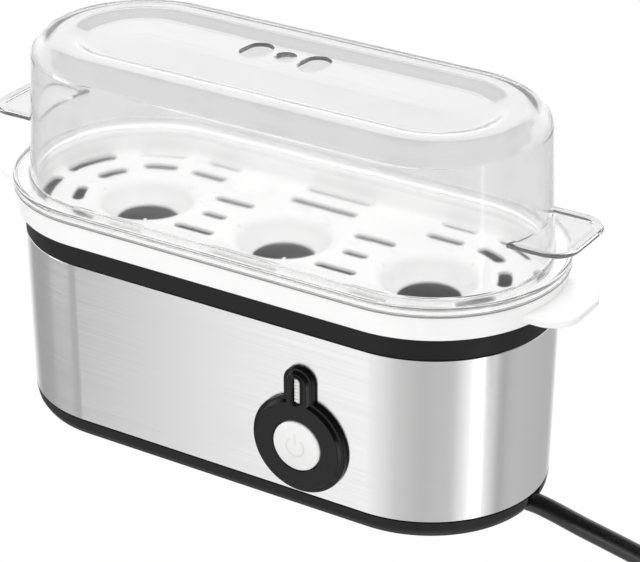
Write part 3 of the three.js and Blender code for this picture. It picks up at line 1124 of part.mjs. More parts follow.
// The plug lies along +X of its own frame, with the cord's end at the origin
function addPlug(plug) {
  const neckZ = PLUG_SLEEVE_LENGTH;
  const headZ = neckZ + PLUG_NECK_LENGTH;
  const faceZ = headZ + PLUG_HEAD_LENGTH;
  const faceFloorZ = faceZ - PLUG_FACE_DEPTH;
  const body = turned([
    [0, 0], [PLUG_SLEEVE_RADIUS, 0], [PLUG_SLEEVE_RADIUS, neckZ], [PLUG_NECK_RADIUS, neckZ + PLUG_BEVEL],
    [PLUG_NECK_RADIUS, headZ - PLUG_NECK_RADIUS], [PLUG_HEAD_RADIUS - PLUG_BEVEL, headZ],
    [PLUG_HEAD_RADIUS, headZ + PLUG_BEVEL], [PLUG_HEAD_RADIUS, faceZ - PLUG_BEVEL],
    [PLUG_HEAD_RADIUS - PLUG_BEVEL, faceZ], [PLUG_FACE_RADIUS, faceZ], [PLUG_FACE_RADIUS, faceFloorZ],
    [0, faceFloorZ],
  ], CUP_STEPS);
  const bore = cylinder(PIN_RADIUS + SIDE_GAP, faceFloorZ - PIN_ROOT, faceZ + OVERRUN, SMALL_STEPS);
  const pinZ = faceFloorZ - PIN_ROOT + SEAT_GAP;
  const pinTop = faceZ + PIN_LENGTH;
  const pin = turned([
    [0, pinZ], [PIN_RADIUS, pinZ], [PIN_RADIUS, pinTop - PIN_BEVEL],
    [PIN_RADIUS - PIN_BEVEL, pinTop], [0, pinTop],
  ], SMALL_STEPS);
  const alongCord = (shape) => shape.rotate([0, 90, 0]);
  const bores = bore.translate([0, PIN_SPREAD, 0]).add(bore.translate([0, -PIN_SPREAD, 0]));
  addPiece('plug_body', alongCord(body.subtract(bores)), materials.black, plug);
  addPiece('plug_pin_1', alongCord(pin), materials.zinc, plug).position.set(0, PIN_SPREAD, 0);
  addPiece('plug_pin_2', alongCord(pin), materials.zinc, plug).position.set(0, -PIN_SPREAD, 0);
}

addBaseShell();
addFeetAndScrews();
addSteelSleeve();
addUpperHousing();
addHeatingBowl();
addHeater();
addThermostat();
panel.updateMatrixWorld(true);
addBezel();
addButtonAndSwitch();
addCordEntry();
addLeads();
addEggTray();
addLid();
addCord();

export default egg_cooker;
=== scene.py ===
from math import acos, atan2, cos, degrees, hypot, pi, radians, sin, sqrt, tan

import bmesh
import bpy
from mathutils import Matrix, Vector


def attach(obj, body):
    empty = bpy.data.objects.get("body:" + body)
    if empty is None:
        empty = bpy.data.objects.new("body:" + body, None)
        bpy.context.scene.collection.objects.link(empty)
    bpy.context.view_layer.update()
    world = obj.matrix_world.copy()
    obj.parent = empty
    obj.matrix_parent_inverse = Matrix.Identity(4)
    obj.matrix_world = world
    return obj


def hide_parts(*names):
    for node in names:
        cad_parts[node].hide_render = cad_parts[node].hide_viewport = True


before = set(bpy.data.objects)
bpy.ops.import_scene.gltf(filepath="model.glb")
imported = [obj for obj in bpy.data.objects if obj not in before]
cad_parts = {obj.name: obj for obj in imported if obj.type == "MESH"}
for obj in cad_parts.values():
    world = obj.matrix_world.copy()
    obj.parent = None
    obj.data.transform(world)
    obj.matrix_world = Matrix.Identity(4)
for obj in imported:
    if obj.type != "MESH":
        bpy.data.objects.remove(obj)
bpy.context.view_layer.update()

MM = 0.001

# The camera of the picture: angles in degrees, lengths in millimetres
CAMERA_AZIMUTH = 31.923
CAMERA_ELEVATION = 26.819
CAMERA_ROLL = 0.143
CAMERA_DISTANCE = 973.08
CAMERA_TARGET = (15.69, -0.22, 70.664)
CAMERA_LENS = 146.4
CAMERA_SENSOR = 36
CAMERA_REACH = 20000

# Plan and heights of the cooker, in millimetres. Each level is the spine with a radius round it.
SPINE = 63
GAP = 0.3
FOOT_STAND = 1.6
TRIM_TOP = 8.7
SLEEVE_Z = 9.0
SLEEVE_TOP = 75.7
BAND_Z = 76.0
BAND_TOP = 92.3
SHELF_TOP = 79.0
FLANGE_TOP = 81.4
BOWL_Z = 60.0
TRAY_TOP = 94.8
TRAY_Z = 86.25
LID_Z = 95.1
LID_SHOULDER_Z = 146.5
LID_TOP = 153.5
SLEEVE_FOOT_RADIUS = 45.9
SLEEVE_TOP_RADIUS = 46.9
SLEEVE_LEAN = atan2(SLEEVE_TOP_RADIUS - SLEEVE_FOOT_RADIUS, SLEEVE_TOP - SLEEVE_Z)
CUP_PITCH = 62.5
CUP_PLACES = [(-CUP_PITCH, 0, TRAY_Z), (0, 0, TRAY_Z), (CUP_PITCH, 0, TRAY_Z)]
DIMPLE_PLACE = (CUP_PITCH / 2, 27.5, TRAY_Z)
FOOT_PLACE = (74, 22, 0)
POST_PLACE = (60, 40.1, 0)
POST_BORE = 1.65
CLAMP_PLACES = [(98, 9, 0), (98, -9, 0)]

# The control panel's own frame: X along the front, Y up the steel, Z straight out of it
PANEL_X = 36.5
PANEL_Z = 30.3
PANEL_RADIUS = SLEEVE_FOOT_RADIUS + (PANEL_Z - SLEEVE_Z) * tan(SLEEVE_LEAN)
PANEL = (
    Matrix.Translation((PANEL_X, -PANEL_RADIUS, PANEL_Z))
    @ Matrix.Rotation(pi / 2 + SLEEVE_LEAN, 4, "X")
)
QUARTER_TURN = Matrix.Rotation(pi / 2, 4, "Z")
WINDOW_Y = 22.6
WINDOW = Matrix.Translation((0, WINDOW_Y, 0)) @ QUARTER_TURN

# The mains cord: its route along the floor, its coil and its tail
CORD_RADIUS = 3.8
CORD_ROUTE = [
    (104.9, 0, 4.4), (110.5, -0.2, 4.3), (118, -1.5, 4), (130.4, -4.9, 3.9), (145.5, -8.7, 3.9),
    (156.4, -11.5, 3.9), (168, -14.5, 3.9), (178, -17.1, 3.9), (186, -19.2, 3.9),
]
ROUTE_STEPS = 4
COIL_RADIUS = 46
COIL_PITCH = 8.3
COIL_TURNS = 3
COIL_STEPS = 36
TAIL_LENGTH = 46
TAIL_SHARES = [0, 0.2, 0.45, 0.8, 1]
TAIL_RISE_SHARES = [0, 0.1, 0.5, 1, 1]
PLUG_HEAD_RADIUS = 18.3
PIN_SIDE = 9.5

# Steps of the curved forms: to a half turn of an end, a full turn of a ring, and a turn of an outline
END_STEPS = 72
RING_STEPS = 96
SLOT_STEPS = 12
CORNER_STEPS = 16
HOOD_STEPS = 40
FILLET_DEGREES = 15
FILLET_SHARE = 0.49
SHARP_ANGLE = radians(32)


# ---------------------------------------------------------------- camera

def add_camera():
    azimuth, elevation = radians(CAMERA_AZIMUTH), radians(CAMERA_ELEVATION)
    away = Vector((sin(azimuth) * cos(elevation), -cos(azimuth) * cos(elevation), sin(elevation)))
    lens = bpy.data.cameras.new("camera")
    lens.sensor_width = CAMERA_SENSOR
    lens.lens = CAMERA_LENS
    lens.clip_end = CAMERA_REACH * MM
    eye = bpy.data.objects.new("camera", lens)
    turn = away.to_track_quat("Z", "Y").to_matrix().to_4x4()
    place = (Vector(CAMERA_TARGET) + CAMERA_DISTANCE * away) * MM
    eye.matrix_world = Matrix.Translation(place) @ turn @ Matrix.Rotation(radians(CAMERA_ROLL), 4, "Z")
    bpy.context.scene.collection.objects.link(eye)
    bpy.context.scene.camera = eye


# ---------------------------------------------------------------- forms

def filleted(corners, closed=False):
    """Points along an outline of (across, up, fillet) corners, each corner drawn as an arc."""
    points = []
    count = len(corners)
    for at, (across, up, fillet) in enumerate(corners):
        corner = Vector((across, up))
        if fillet == 0 or (not closed and at in (0, count - 1)):
            points.append((across, up))
            continue
        before = Vector(corners[at - 1][:2]) - corner
        after = Vector(corners[(at + 1) % count][:2]) - corner
        reach = FILLET_SHARE * min(before.length, after.length)
        before.normalize()
        after.normalize()
        turn = pi - acos(max(-1, min(1, before.dot(after))))
        trim = min(fillet * tan(turn / 2), reach)
        radius = trim / tan(turn / 2)
        centre = corner + (before + after).normalized() * hypot(radius, trim)
        first = corner + before * trim - centre
        steps = max(2, round(degrees(turn) / FILLET_DEGREES))
        way = 1 if first.x * (corner - centre).y - first.y * (corner - centre).x > 0 else -1
        for step in range(steps + 1):
            angle = way * turn * step / steps
            points.append((
                centre.x + first.x * cos(angle) - first.y * sin(angle),
                centre.y + first.x * sin(angle) + first.y * cos(angle),
            ))
    return points


def welded(mesh, near):
    """Points nearer than a distance become one, and slivers a tenth as wide go."""
    bmesh.ops.remove_doubles(mesh, verts=mesh.verts, dist=near)
    bmesh.ops.dissolve_degenerate(mesh, edges=mesh.edges, dist=near / 10)
    return mesh


def loft(rows, closed=False, capped=False):
    """A mesh between rows of points, each row closed on itself, in millimetres."""
    mesh = bmesh.new()
    width = len(rows[0])
    grid = [[mesh.verts.new(point) for point in row] for row in rows]
    for at in range(len(rows) if closed else len(rows) - 1):
        low, high = grid[at], grid[(at + 1) % len(rows)]
        for column in range(width):
            beside = (column + 1) % width
            mesh.faces.new((low[column], low[beside], high[beside], high[column]))
    if capped:
        mesh.faces.new(reversed(grid[0]))
        mesh.faces.new(grid[-1])
    welded(mesh, 1e-5)
    bmesh.ops.recalc_face_normals(mesh, faces=mesh.faces)
    return mesh


def stadium(corners, closed=False, steps=END_STEPS):
    """A profile of (radius, height, fillet) corners swept round the plan: the spine with round ends."""
    columns = []
    for side in (1, -1):
        for step in range(steps + 1):
            turn = pi * step / steps - pi / 2
            columns.append((side, side * cos(turn), side * sin(turn)))
    return loft([
        [(side * SPINE + radius * along, radius * across, height) for side, along, across in columns]
        for radius, height in filleted(corners, closed)
    ], closed)


def turned(corners, closed=False, steps=RING_STEPS):
    """A solid of revolution round Z from (radius, height, fillet) corners."""
    ring = [(cos(2 * pi * step / steps), sin(2 * pi * step / steps)) for step in range(steps)]
    return loft([
        [(radius * x, radius * y, height) for x, y in ring] for radius, height in filleted(corners, closed)
    ], closed)


def standing(radius, low, high, steps=32):
    """An upright round bar between two heights."""
    return turned([(0, low, 0), (radius, low, 0), (radius, high, 0), (0, high, 0)], steps=steps)


def plate(outline, corners, closed=False):
    """A flat shape: outline(inset) gives its points, and (inset, height, fillet) corners its edge.
    Closed, it is a ring of that section along the outline."""
    return loft([
        [(x, y, height) for x, y in outline(inset)] for inset, height in filleted(corners, closed)
    ], closed, not closed)


def block(low, high):
    """An upright block between two opposite corners."""
    mesh = bmesh.new()
    bmesh.ops.create_cube(mesh, size=1)
    size = [b - a for a, b in zip(low, high)]
    middle = [(a + b) / 2 for a, b in zip(low, high)]
    return moved(mesh, Matrix.Translation(middle) @ Matrix.Diagonal((*size, 1)))


def arc(centre, radius, first, last, steps):
    """Points on a circle's arc, in degrees."""
    return [
        (centre[0] + radius * cos(radians(first + (last - first) * step / steps)),
         centre[1] + radius * sin(radians(first + (last - first) * step / steps)))
        for step in range(steps + 1)
    ]


def slot_outline(length, width, steps=SLOT_STEPS):
    """A straight slot with round ends along X."""
    def outline(inset):
        reach, radius = (length - width) / 2, width / 2 - inset
        return arc((reach, 0), radius, -90, 90, steps) + arc((-reach, 0), radius, 90, 270, steps)
    return outline


def arc_slot_outline(row, width, first, last, steps=SLOT_STEPS):
    """A slot that follows an arc round the origin; its rounded ends bulge past its angles."""
    def outline(inset):
        half = width / 2 - inset
        start, end = radians(first), radians(last)
        return (
            arc((0, 0), row + half, first, last, steps)
            + arc((row * cos(end), row * sin(end)), half, last, last + 180, steps)[1:-1]
            + arc((0, 0), row - half, last, first, steps)
            + arc((row * cos(start), row * sin(start)), half, first + 180, first + 360, steps)[1:-1]
        )
    return outline


def tab_outline(reach, half, corner, steps=CORNER_STEPS):
    """A handle from the end of the spine outwards, with its two far corners rounded."""
    def outline(inset):
        far, side, radius = reach - inset, half - inset, corner - inset
        return (
            [(0, -side)] + arc((far - radius, radius - side), radius, -90, 0, steps)
            + arc((far - radius, side - radius), radius, 0, 90, steps) + [(0, side)]
        )
    return outline


def bezel_outline(radius, half, top, steps=HOOD_STEPS):
    """A disc with a round-topped hood over it."""
    def outline(inset):
        disc, side = radius - inset, half - inset
        foot = sqrt(disc ** 2 - side ** 2)
        start = degrees(atan2(foot, side))
        return (
            [(side, foot)] + arc((0, top - half), side, 0, 180, steps) + [(-side, foot)]
            + arc((0, 0), disc, 180 - start, 360 + start, 3 * steps)[1:-1]
        )
    return outline


def moved(mesh, matrix):
    """The mesh itself, put through a matrix; a mirrored one keeps its faces outwards."""
    mesh.transform(matrix)
    if matrix.determinant() < 0:
        bmesh.ops.reverse_faces(mesh, faces=mesh.faces)
    return mesh


def shifted(mesh, place):
    return moved(mesh, Matrix.Translation(place))


def joined(meshes):
    """One mesh from several."""
    whole = bmesh.new()
    for part in meshes:
        data = bpy.data.meshes.new("part")
        part.to_mesh(data)
        part.free()
        whole.from_mesh(data)
        bpy.data.meshes.remove(data)
    return whole


def repeated(mesh, places):
    """The same shape at several places."""
    copies = joined([shifted(mesh.copy(), place) for place in places])
    mesh.free()
    return copies


def in_corners(x, y, z):
    """The four places as far from the middle as one of them."""
    return [(x, y, z), (-x, y, z), (-x, -y, z), (x, -y, z)]


def at_both_ends(mesh):
    """A handle at one end of the spine, and its mirror image at the other."""
    return joined([
        moved(copy, Matrix.Translation((side * SPINE, 0, 0)) @ Matrix.Diagonal((side, 1, 1, 1)))
        for side, copy in ((1, mesh.copy()), (-1, mesh))
    ])


def to_object(name, mesh):
    data = bpy.data.meshes.new(name)
    mesh.to_mesh(data)
    mesh.free()
    shape = bpy.data.objects.new(name, data)
    bpy.context.scene.collection.objects.link(shape)
    return shape


def combined(body, tool, how="DIFFERENCE"):
    """The mesh of one shape cut or joined by another."""
    target, other = to_object("target", body), to_object("tool", tool)
    change = target.modifiers.new("change", "BOOLEAN")
    change.object, change.operation, change.solver = other, how, "EXACT"
    shape = target.evaluated_get(bpy.context.evaluated_depsgraph_get())
    data = bpy.data.meshes.new_from_object(shape)
    result = bmesh.new()
    result.from_mesh(data)
    for spare in (target, other):
        bpy.data.objects.remove(spare)
    bpy.data.meshes.remove(data)
    return welded(result, 1e-4)


def add_piece(name, mesh, material, body="root", replaces=()):
    """A piece of the cooker: smooth shaded, in its place, on its body and with its finish."""
    moved(mesh, Matrix.Scale(MM, 4))
    piece = to_object(name, mesh)
    piece.data.materials.append(material)
    for face in piece.data.polygons:
        face.use_smooth = True
    piece.data.set_sharp_from_angle(angle=SHARP_ANGLE)
    normals = piece.modifiers.new("normals", "WEIGHTED_NORMAL")
    normals.keep_sharp = True
    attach(piece, body)
    if replaces:
        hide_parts(*replaces)
    return piece


# ---------------------------------------------------------------- finishes

# The part of a noise's range that its values fill, and the size of the clouds in moulded plastic
NOISE_RANGE = (0.3, 0.7)
CLOUD_SIZE = 14


def colour(text):
    """An sRGB hex colour as a linear one."""
    channels = [int(text[at:at + 2], 16) / 255 for at in (1, 3, 5)]
    return (*[c / 12.92 if c <= 0.04045 else ((c + 0.055) / 1.055) ** 2.4 for c in channels], 1)


def add_node(tree, kind, inputs=None, **settings):
    """A node with its settings; each input is linked to a socket or set to a value."""
    node = tree.nodes.new(kind)
    for name, value in settings.items():
        setattr(node, name, value)
    for name, value in (inputs or {}).items():
        if isinstance(value, bpy.types.NodeSocket):
            tree.links.new(value, node.inputs[name])
        else:
            node.inputs[name].default_value = value
    return node


def new_finish(name, base, **inputs):
    """A material with one principled shader, and what is needed to add to it."""
    finish = bpy.data.materials.new(name)
    finish.use_nodes = True
    tree = finish.node_tree
    tree.nodes.clear()
    shader = add_node(tree, "ShaderNodeBsdfPrincipled", {"Base Color": colour(base), **inputs})
    add_node(tree, "ShaderNodeOutputMaterial", {"Surface": shader.outputs["BSDF"]})
    return finish, tree, shader


def grain(tree, size, detail=2, stretch=(1, 1, 1)):
    """Noise with features of a size in millimetres, drawn out along an axis by a stretch."""
    place = add_node(tree, "ShaderNodeTexCoord")
    scaled = add_node(tree, "ShaderNodeMapping", {
        "Vector": place.outputs["Object"], "Scale": [1 / (size * MM * along) for along in stretch],
    })
    noise = add_node(tree, "ShaderNodeTexNoise", {
        "Vector": scaled.outputs["Vector"], "Scale": 1, "Detail": detail, "Roughness": 0.55,
    })
    return noise.outputs["Fac"]


def work_surface(tree, shader, tone, height, dark, light, roughness, change, relief):
    """Colour and gloss that follow one noise, and a relief in millimetres that follows another."""
    low, high = NOISE_RANGE
    ramp = add_node(tree, "ShaderNodeValToRGB", {"Fac": tone})
    for stop, position, text in zip(ramp.color_ramp.elements, NOISE_RANGE, (dark, light)):
        stop.position, stop.color = position, colour(text)
    gloss = add_node(tree, "ShaderNodeMapRange", {
        "Value": tone, "From Min": low, "From Max": high,
        "To Min": roughness * (1 - change), "To Max": roughness * (1 + change),
    })
    bump = add_node(tree, "ShaderNodeBump", {"Height": height, "Strength": 1, "Distance": relief * MM})
    tree.links.new(ramp.outputs["Color"], shader.inputs["Base Color"])
    tree.links.new(gloss.outputs["Result"], shader.inputs["Roughness"])
    tree.links.new(bump.outputs["Normal"], shader.inputs["Normal"])


def moulded(name, dark, light, roughness, size=0.9, relief=0.02, **inputs):
    """Moulded plastic or rubber: a faint spark-eroded grain, gloss that varies and a near even colour.
    The real grain is about 0.1 mm across, and drawn coarser so that it shows."""
    finish, tree, shader = new_finish(name, dark, **inputs)
    cloud = grain(tree, CLOUD_SIZE)
    work_surface(tree, shader, cloud, grain(tree, size), dark, light, roughness, 0.12, relief)
    return finish


def metal(name, dark, light, roughness, size=1.5, stretch=(1, 1, 1), relief=0.004):
    """Bare or plated metal with a rolled, drawn or brushed grain that is stretched along its working."""
    finish, tree, shader = new_finish(name, dark, Metallic=1)
    lines = grain(tree, size, 3, stretch)
    work_surface(tree, shader, lines, lines, dark, light, roughness, 0.2, relief)
    return finish


def brushed_steel():
    """Stainless sheet, brushed along the body in lines about 100 mm long. Real ones are under 0.1 mm
    wide, and drawn 0.45 mm wide so that they show."""
    finish = metal(
        "brushed_stainless_steel", "#dddcdc", "#e1e0e0", 0.2, 0.45, (220, 220, 1), 0.0002,
    )
    tree = finish.node_tree
    shader = tree.nodes["Principled BSDF"]
    shader.inputs["Anisotropic"].default_value = 1
    shader.inputs["Anisotropic Rotation"].default_value = 0.25
    tangent = add_node(tree, "ShaderNodeTangent", direction_type="RADIAL", axis="Z")
    tree.links.new(tangent.outputs["Tangent"], shader.inputs["Tangent"])
    return finish


def clear_plastic():
    """Injection-moulded styrene-acrylonitrile with slow waves from the mould, 22 mm apart and 0.12 mm
    high. Lamps and soft light pass straight through it."""
    finish, tree, shader = new_finish(
        "clear_san_moulding", "#fafafa", IOR=1.4, Roughness=0.08, **{"Transmission Weight": 0.97},
    )
    bump = add_node(tree, "ShaderNodeBump", {
        "Height": grain(tree, 22, 1), "Strength": 1, "Distance": 0.12 * MM,
    })
    tree.links.new(bump.outputs["Normal"], shader.inputs["Normal"])
    clear = add_node(tree, "ShaderNodeBsdfTransparent", {"Color": colour("#fefefe")})
    rays = add_node(tree, "ShaderNodeLightPath")
    lit = add_node(tree, "ShaderNodeMath", {
        0: rays.outputs["Is Shadow Ray"], 1: rays.outputs["Is Diffuse Ray"],
    }, operation="MAXIMUM")
    mix = add_node(tree, "ShaderNodeMixShader", {
        0: lit.outputs[0], 1: shader.outputs["BSDF"], 2: clear.outputs["BSDF"],
    })
    tree.links.new(mix.outputs["Shader"], tree.nodes["Material Output"].inputs["Surface"])
    return finish


# Moulded polypropylene of the band and the casing: a dull black that mirrors little
BLACK_PLASTIC = moulded(
    "black_pp_moulding", "#141415", "#181819", 0.5, 0.9, 0.015, **{"Specular IOR Level": 0.25},
)
# ABS from a polished mould, for the bezel: a deeper black with small, clear lights on its edges
BLACK_GLOSS = moulded(
    "black_abs_gloss", "#0c0c0d", "#0f0f10", 0.16, 2.5, 0.004, **{"Specular IOR Level": 0.2},
)
# Brushed stainless sheet of the sleeve: upright bands of mirrored light, crossed by fine level lines
STEEL = brushed_steel()
# Moulded polypropylene of the tray: bright white with a soft sheen along its round edges
WHITE_TRAY = moulded("white_pp_moulding", "#f7f7f7", "#fafaf9", 0.3, 1.2, 0.008)
# Moulded styrene-acrylonitrile of the lid: clear, with faint grey where it is seen edge on
CLEAR_LID = clear_plastic()
# The matt grey edge that the lid's lip stands on is painted shadow: a grey line for the shaded gap between
# lid and tray
GAP_SHADOW = moulded("painted_gap_shadow", "#8c8c8c", "#969696", 0.6)
# Moulded ABS of the button, and the pad print on it: a smooth off-white, and a mark a shade darker
WHITE_BUTTON = moulded("white_abs_moulding", "#ededec", "#f1f1f0", 0.25, 1.0, 0.005)
MARK_GREY = moulded("grey_pad_print", "#dededd", "#e3e3e2", 0.35, 1.0, 0.004)
# Milky polycarbonate of the lamp's window: white and glossy
MILKY_LENS = moulded("milky_polycarbonate", "#f2f2f0", "#f8f8f6", 0.2, 1.0, 0.004)
# Pressed and coated aluminium of the bowl: a soft grey that mirrors no shapes
BOWL_COATING = metal("coated_pressed_aluminium", "#8e8e90", "#98989a", 0.42, 2.0, (6, 6, 1))
# Plated and drawn metals: bluish zinc, the heater's brown-grey sheath, and yellowish nickel
ZINC = metal("zinc_plated_steel", "#a6a8ab", "#b4b6b9", 0.34)
HEATER_STEEL = metal("heater_sheath_steel", "#7f7d7a", "#8f8c88", 0.4)
NICKEL = metal("nickel_plated_brass", "#c6c2b8", "#d2cec4", 0.2)
# Moulded silicone and rubber: matt, without clear lights
SILICONE = moulded("grey_silicone_rubber", "#a9a5a0", "#b1ada8", 0.6)
RUBBER = moulded("black_rubber", "#262626", "#2b2b2b", 0.75, 1.2, 0.03)
# Extruded PVC of the cord, black with one soft line of light along it, and the plug's duller moulding
CORD_JACKET = moulded(
    "black_pvc_jacket", "#050505", "#080808", 0.4, 3.0, 0.01, **{"Specular IOR Level": 0.9},
)
PLUG_PLASTIC = moulded("black_pvc_moulding", "#1a1a1b", "#1f1f20", 0.42, 1.0, 0.02)
# Extruded PVC of the leads, in the colours of mains wiring
BROWN_LEAD = moulded("brown_pvc_lead", "#57361f", "#5f3c24", 0.45)
BLUE_LEAD = moulded("blue_pvc_lead", "#24508f", "#2a5898", 0.45)
EARTH_LEAD = moulded("green_pvc_lead", "#6f9a2c", "#7aa634", 0.45)
# Moulded PBT of the switch, a dull black, and the lamp's glass, smooth and pale orange
SWITCH_PLASTIC = moulded("black_pbt_moulding", "#232324", "#29292a", 0.5)
GLASS_BULB = moulded("neon_glass", "#e2c4ad", "#e8cbb5", 0.12)

NODE_FINISHES = {
    "bowl_seal": SILICONE, "heater_tube": HEATER_STEEL, "heater_clip_right": ZINC, "heater_clip_left": ZINC,
    "thermostat": HEATER_STEEL, "thermal_fuse": ZINC, "indicator_lamp": GLASS_BULB,
    "switch_plunger": SWITCH_PLASTIC, "switch_body": SWITCH_PLASTIC, "switch_bracket": ZINC,
    "strain_relief": CORD_JACKET, "cord_clamp": BLACK_PLASTIC, "clamp_screw_1": ZINC, "clamp_screw_2": ZINC,
    "lead_live": BROWN_LEAD, "lead_switched": BROWN_LEAD, "lead_fuse": BROWN_LEAD,
    "lead_neutral": BLUE_LEAD, "lead_earth": EARTH_LEAD,
    **{f"base_screw_{number}": ZINC for number in range(1, 5)},
}


# ---------------------------------------------------------------- cord and plug

def smooth_route(points):
    """Points on a centripetal spline through a list of points."""
    stops = [Vector(point) for point in points]
    stops = [2 * stops[0] - stops[1]] + stops + [2 * stops[-1] - stops[-2]]
    line = []
    for at in range(1, len(stops) - 2):
        a, b, c, d = stops[at - 1:at + 3]
        knots = [0]
        for first, second in ((a, b), (b, c), (c, d)):
            knots.append(knots[-1] + sqrt((second - first).length))
        for step in range(ROUTE_STEPS):
            t = knots[1] + (knots[2] - knots[1]) * step / ROUTE_STEPS
            share = [(t - knots[k]) / (knots[k + 1] - knots[k]) for k in range(3)]
            ab, bc, cd = a.lerp(b, share[0]), b.lerp(c, share[1]), c.lerp(d, share[2])
            abc = ab.lerp(bc, (t - knots[0]) / (knots[2] - knots[0]))
            bcd = bc.lerp(cd, (t - knots[1]) / (knots[3] - knots[1]))
            line.append(abc.lerp(bcd, share[1]))
    return line + [stops[-2]]


def turned_flat(vector, angle):
    """A vector turned on the floor."""
    return Matrix.Rotation(angle, 3, "Z") @ vector


def cord_line():
    """The cord's centre line, and the place and heading of its plug."""
    run = smooth_route(CORD_ROUTE)
    heading = Vector(CORD_ROUTE[-1]) - Vector(CORD_ROUTE[-2])
    heading = Vector((heading.x, heading.y, 0)).normalized()
    start = run[-1] + heading * GAP
    tilt = atan2(COIL_PITCH, 2 * pi * COIL_RADIUS)
    inwards = turned_flat(heading, pi / 2 - tilt)
    centre = start + heading * 2 * CORD_RADIUS + inwards * COIL_RADIUS
    coil = [start]
    for step in range(COIL_TURNS * COIL_STEPS + 1):
        turns = step / COIL_STEPS
        # The radius shrinks to the middle turn and grows again, on a layer above
        radius = COIL_RADIUS - COIL_PITCH * min(turns, COIL_TURNS - turns)
        rise = min(1, max(0, (turns - COIL_TURNS / 2) * 2 + 0.5))
        point = centre + turned_flat(-inwards, 2 * pi * turns) * radius
        point.z = start.z + COIL_PITCH * rise * rise * (3 - 2 * rise)
        coil.append(point)
    outwards = turned_flat(heading, 2 * pi * COIL_TURNS - 2 * tilt)
    coil.append(coil[-1] + outwards * 2 * CORD_RADIUS)
    tail_start = coil[-1] + outwards * GAP
    tail = []
    for along, rise in zip(TAIL_SHARES, TAIL_RISE_SHARES):
        point = tail_start + outwards * TAIL_LENGTH * along
        point.z = tail_start.z + (PLUG_HEAD_RADIUS - tail_start.z) * rise
        tail.append(point)
    tail = smooth_route(tail)
    return run + coil + tail, tail[-1] + outwards * GAP, outwards


def add_plug(plug_place, plug_way):
    """The plug and its pins, which lie on the floor at the end of the cord's tail."""
    place = Matrix.Translation(plug_place) @ Matrix.Rotation(atan2(plug_way.y, plug_way.x), 4, "Z")
    along_cord = place @ Matrix.Rotation(pi / 2, 4, "Y")
    body = turned([
        (0, 0, 0), (4.6, 0, 0.5), (5.2, 12, 1), (8.6, 14, 2), (9, 27, 5), (17.4, 36, 3),
        (PLUG_HEAD_RADIUS, 41, 3), (PLUG_HEAD_RADIUS, 53, 1.6), (15.5, 53, 0.6), (15.5, 51, 0.8),
        (0, 51, 0),
    ])
    half_groove, past_sleeve = 0.7, 4
    grooves = joined([
        turned([(radius, height - half_groove, 0), (radius + past_sleeve, height - half_groove, 0),
                (radius + past_sleeve, height + half_groove, 0), (radius, height + half_groove, 0)], True)
        for radius, height in ((4.3, 4), (4.4, 7), (4.5, 10))
    ])
    body = combined(body, grooves)
    bores = repeated(standing(2.7, 45, 54), [(0, PIN_SIDE, 0), (0, -PIN_SIDE, 0)])
    body = moved(combined(body, bores), along_cord)
    plug = add_piece("plug", body, PLUG_PLASTIC, replaces=["plug_body"])
    pins = []
    for number, side in ((1, 1), (2, -1)):
        pin = turned([(0, 45.3, 0), (2.4, 45.3, 0), (2.4, 72, 1.4), (0, 72, 0)], steps=32)
        moved(pin, along_cord @ Matrix.Translation((0, side * PIN_SIDE, 0)))
        pins.append(add_piece(f"pin_{number}", pin, NICKEL, replaces=[f"plug_pin_{number}"]))
    return [plug, *pins]


def add_cord_and_plug():
    line, plug_place, plug_way = cord_line()
    curve = bpy.data.curves.new("mains_cord", "CURVE")
    curve.dimensions = "3D"
    curve.bevel_depth = CORD_RADIUS * MM
    curve.bevel_resolution = 7
    curve.use_fill_caps = True
    spline = curve.splines.new("POLY")
    spline.points.add(len(line) - 1)
    for point, place in zip(spline.points, line):
        point.co = (*(place * MM), 1)
    spline.use_smooth = True
    cord = bpy.data.objects.new("mains_cord", curve)
    bpy.context.scene.collection.objects.link(cord)
    curve.materials.append(CORD_JACKET)
    cord.visible_glossy = False
    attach(cord, "root")
    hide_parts("cord_run", "cord_coil", "cord_tail")
    on_cord = add_plug(plug_place, plug_way)


# ---------------------------------------------------------------- base

def add_base():
    upstand, inside = 44.8, 42.8
    casing_top, upstand_top = 4.5, 14.0
    shell = stadium([
        (0, FOOT_STAND, 0), (43.4, FOOT_STAND, 0.8), (45.3, 4.6, 4), (45.95, TRIM_TOP, 0.3),
        (upstand, TRIM_TOP, 0), (upstand, upstand_top, 0.4), (inside, upstand_top, 0.4),
        (inside, casing_top, 0.8), (0, casing_top, 0),
    ])
    feet, posts = in_corners(*FOOT_PLACE), in_corners(*POST_PLACE)
    screw_posts = repeated(standing(3.1, 3.5, 19.7), posts)
    clamp_bosses = repeated(standing(3, FOOT_STAND + 1, 8.5), CLAMP_PLACES)
    for added in (screw_posts, clamp_bosses):
        shell = combined(shell, added, "UNION")
    foot_seats = repeated(standing(6.3, 0, 3.5), feet)
    screw_heads = repeated(standing(2.4, 0, 8.2), posts)
    screw_bores = repeated(standing(POST_BORE, 8, 21), posts)
    clamp_bores = repeated(standing(1.5, 3.5, 9), CLAMP_PLACES)
    cord_channel = block((80.5, -4.6, 0), (111, 4.6, 15))
    for cut in (foot_seats, screw_heads, screw_bores, clamp_bores, cord_channel):
        shell = combined(shell, cut)
    add_piece("bottom_casing", shell, BLACK_PLASTIC, replaces=["base_shell"])
    for number, place in enumerate(feet, 1):
        foot = shifted(turned([(0, 0, 0), (6, 0, 0.6), (6, 3.2, 0.2), (0, 3.2, 0)], steps=48), place)
        add_piece(f"rubber_foot_{number}", foot, RUBBER, replaces=[f"foot_{number}"])


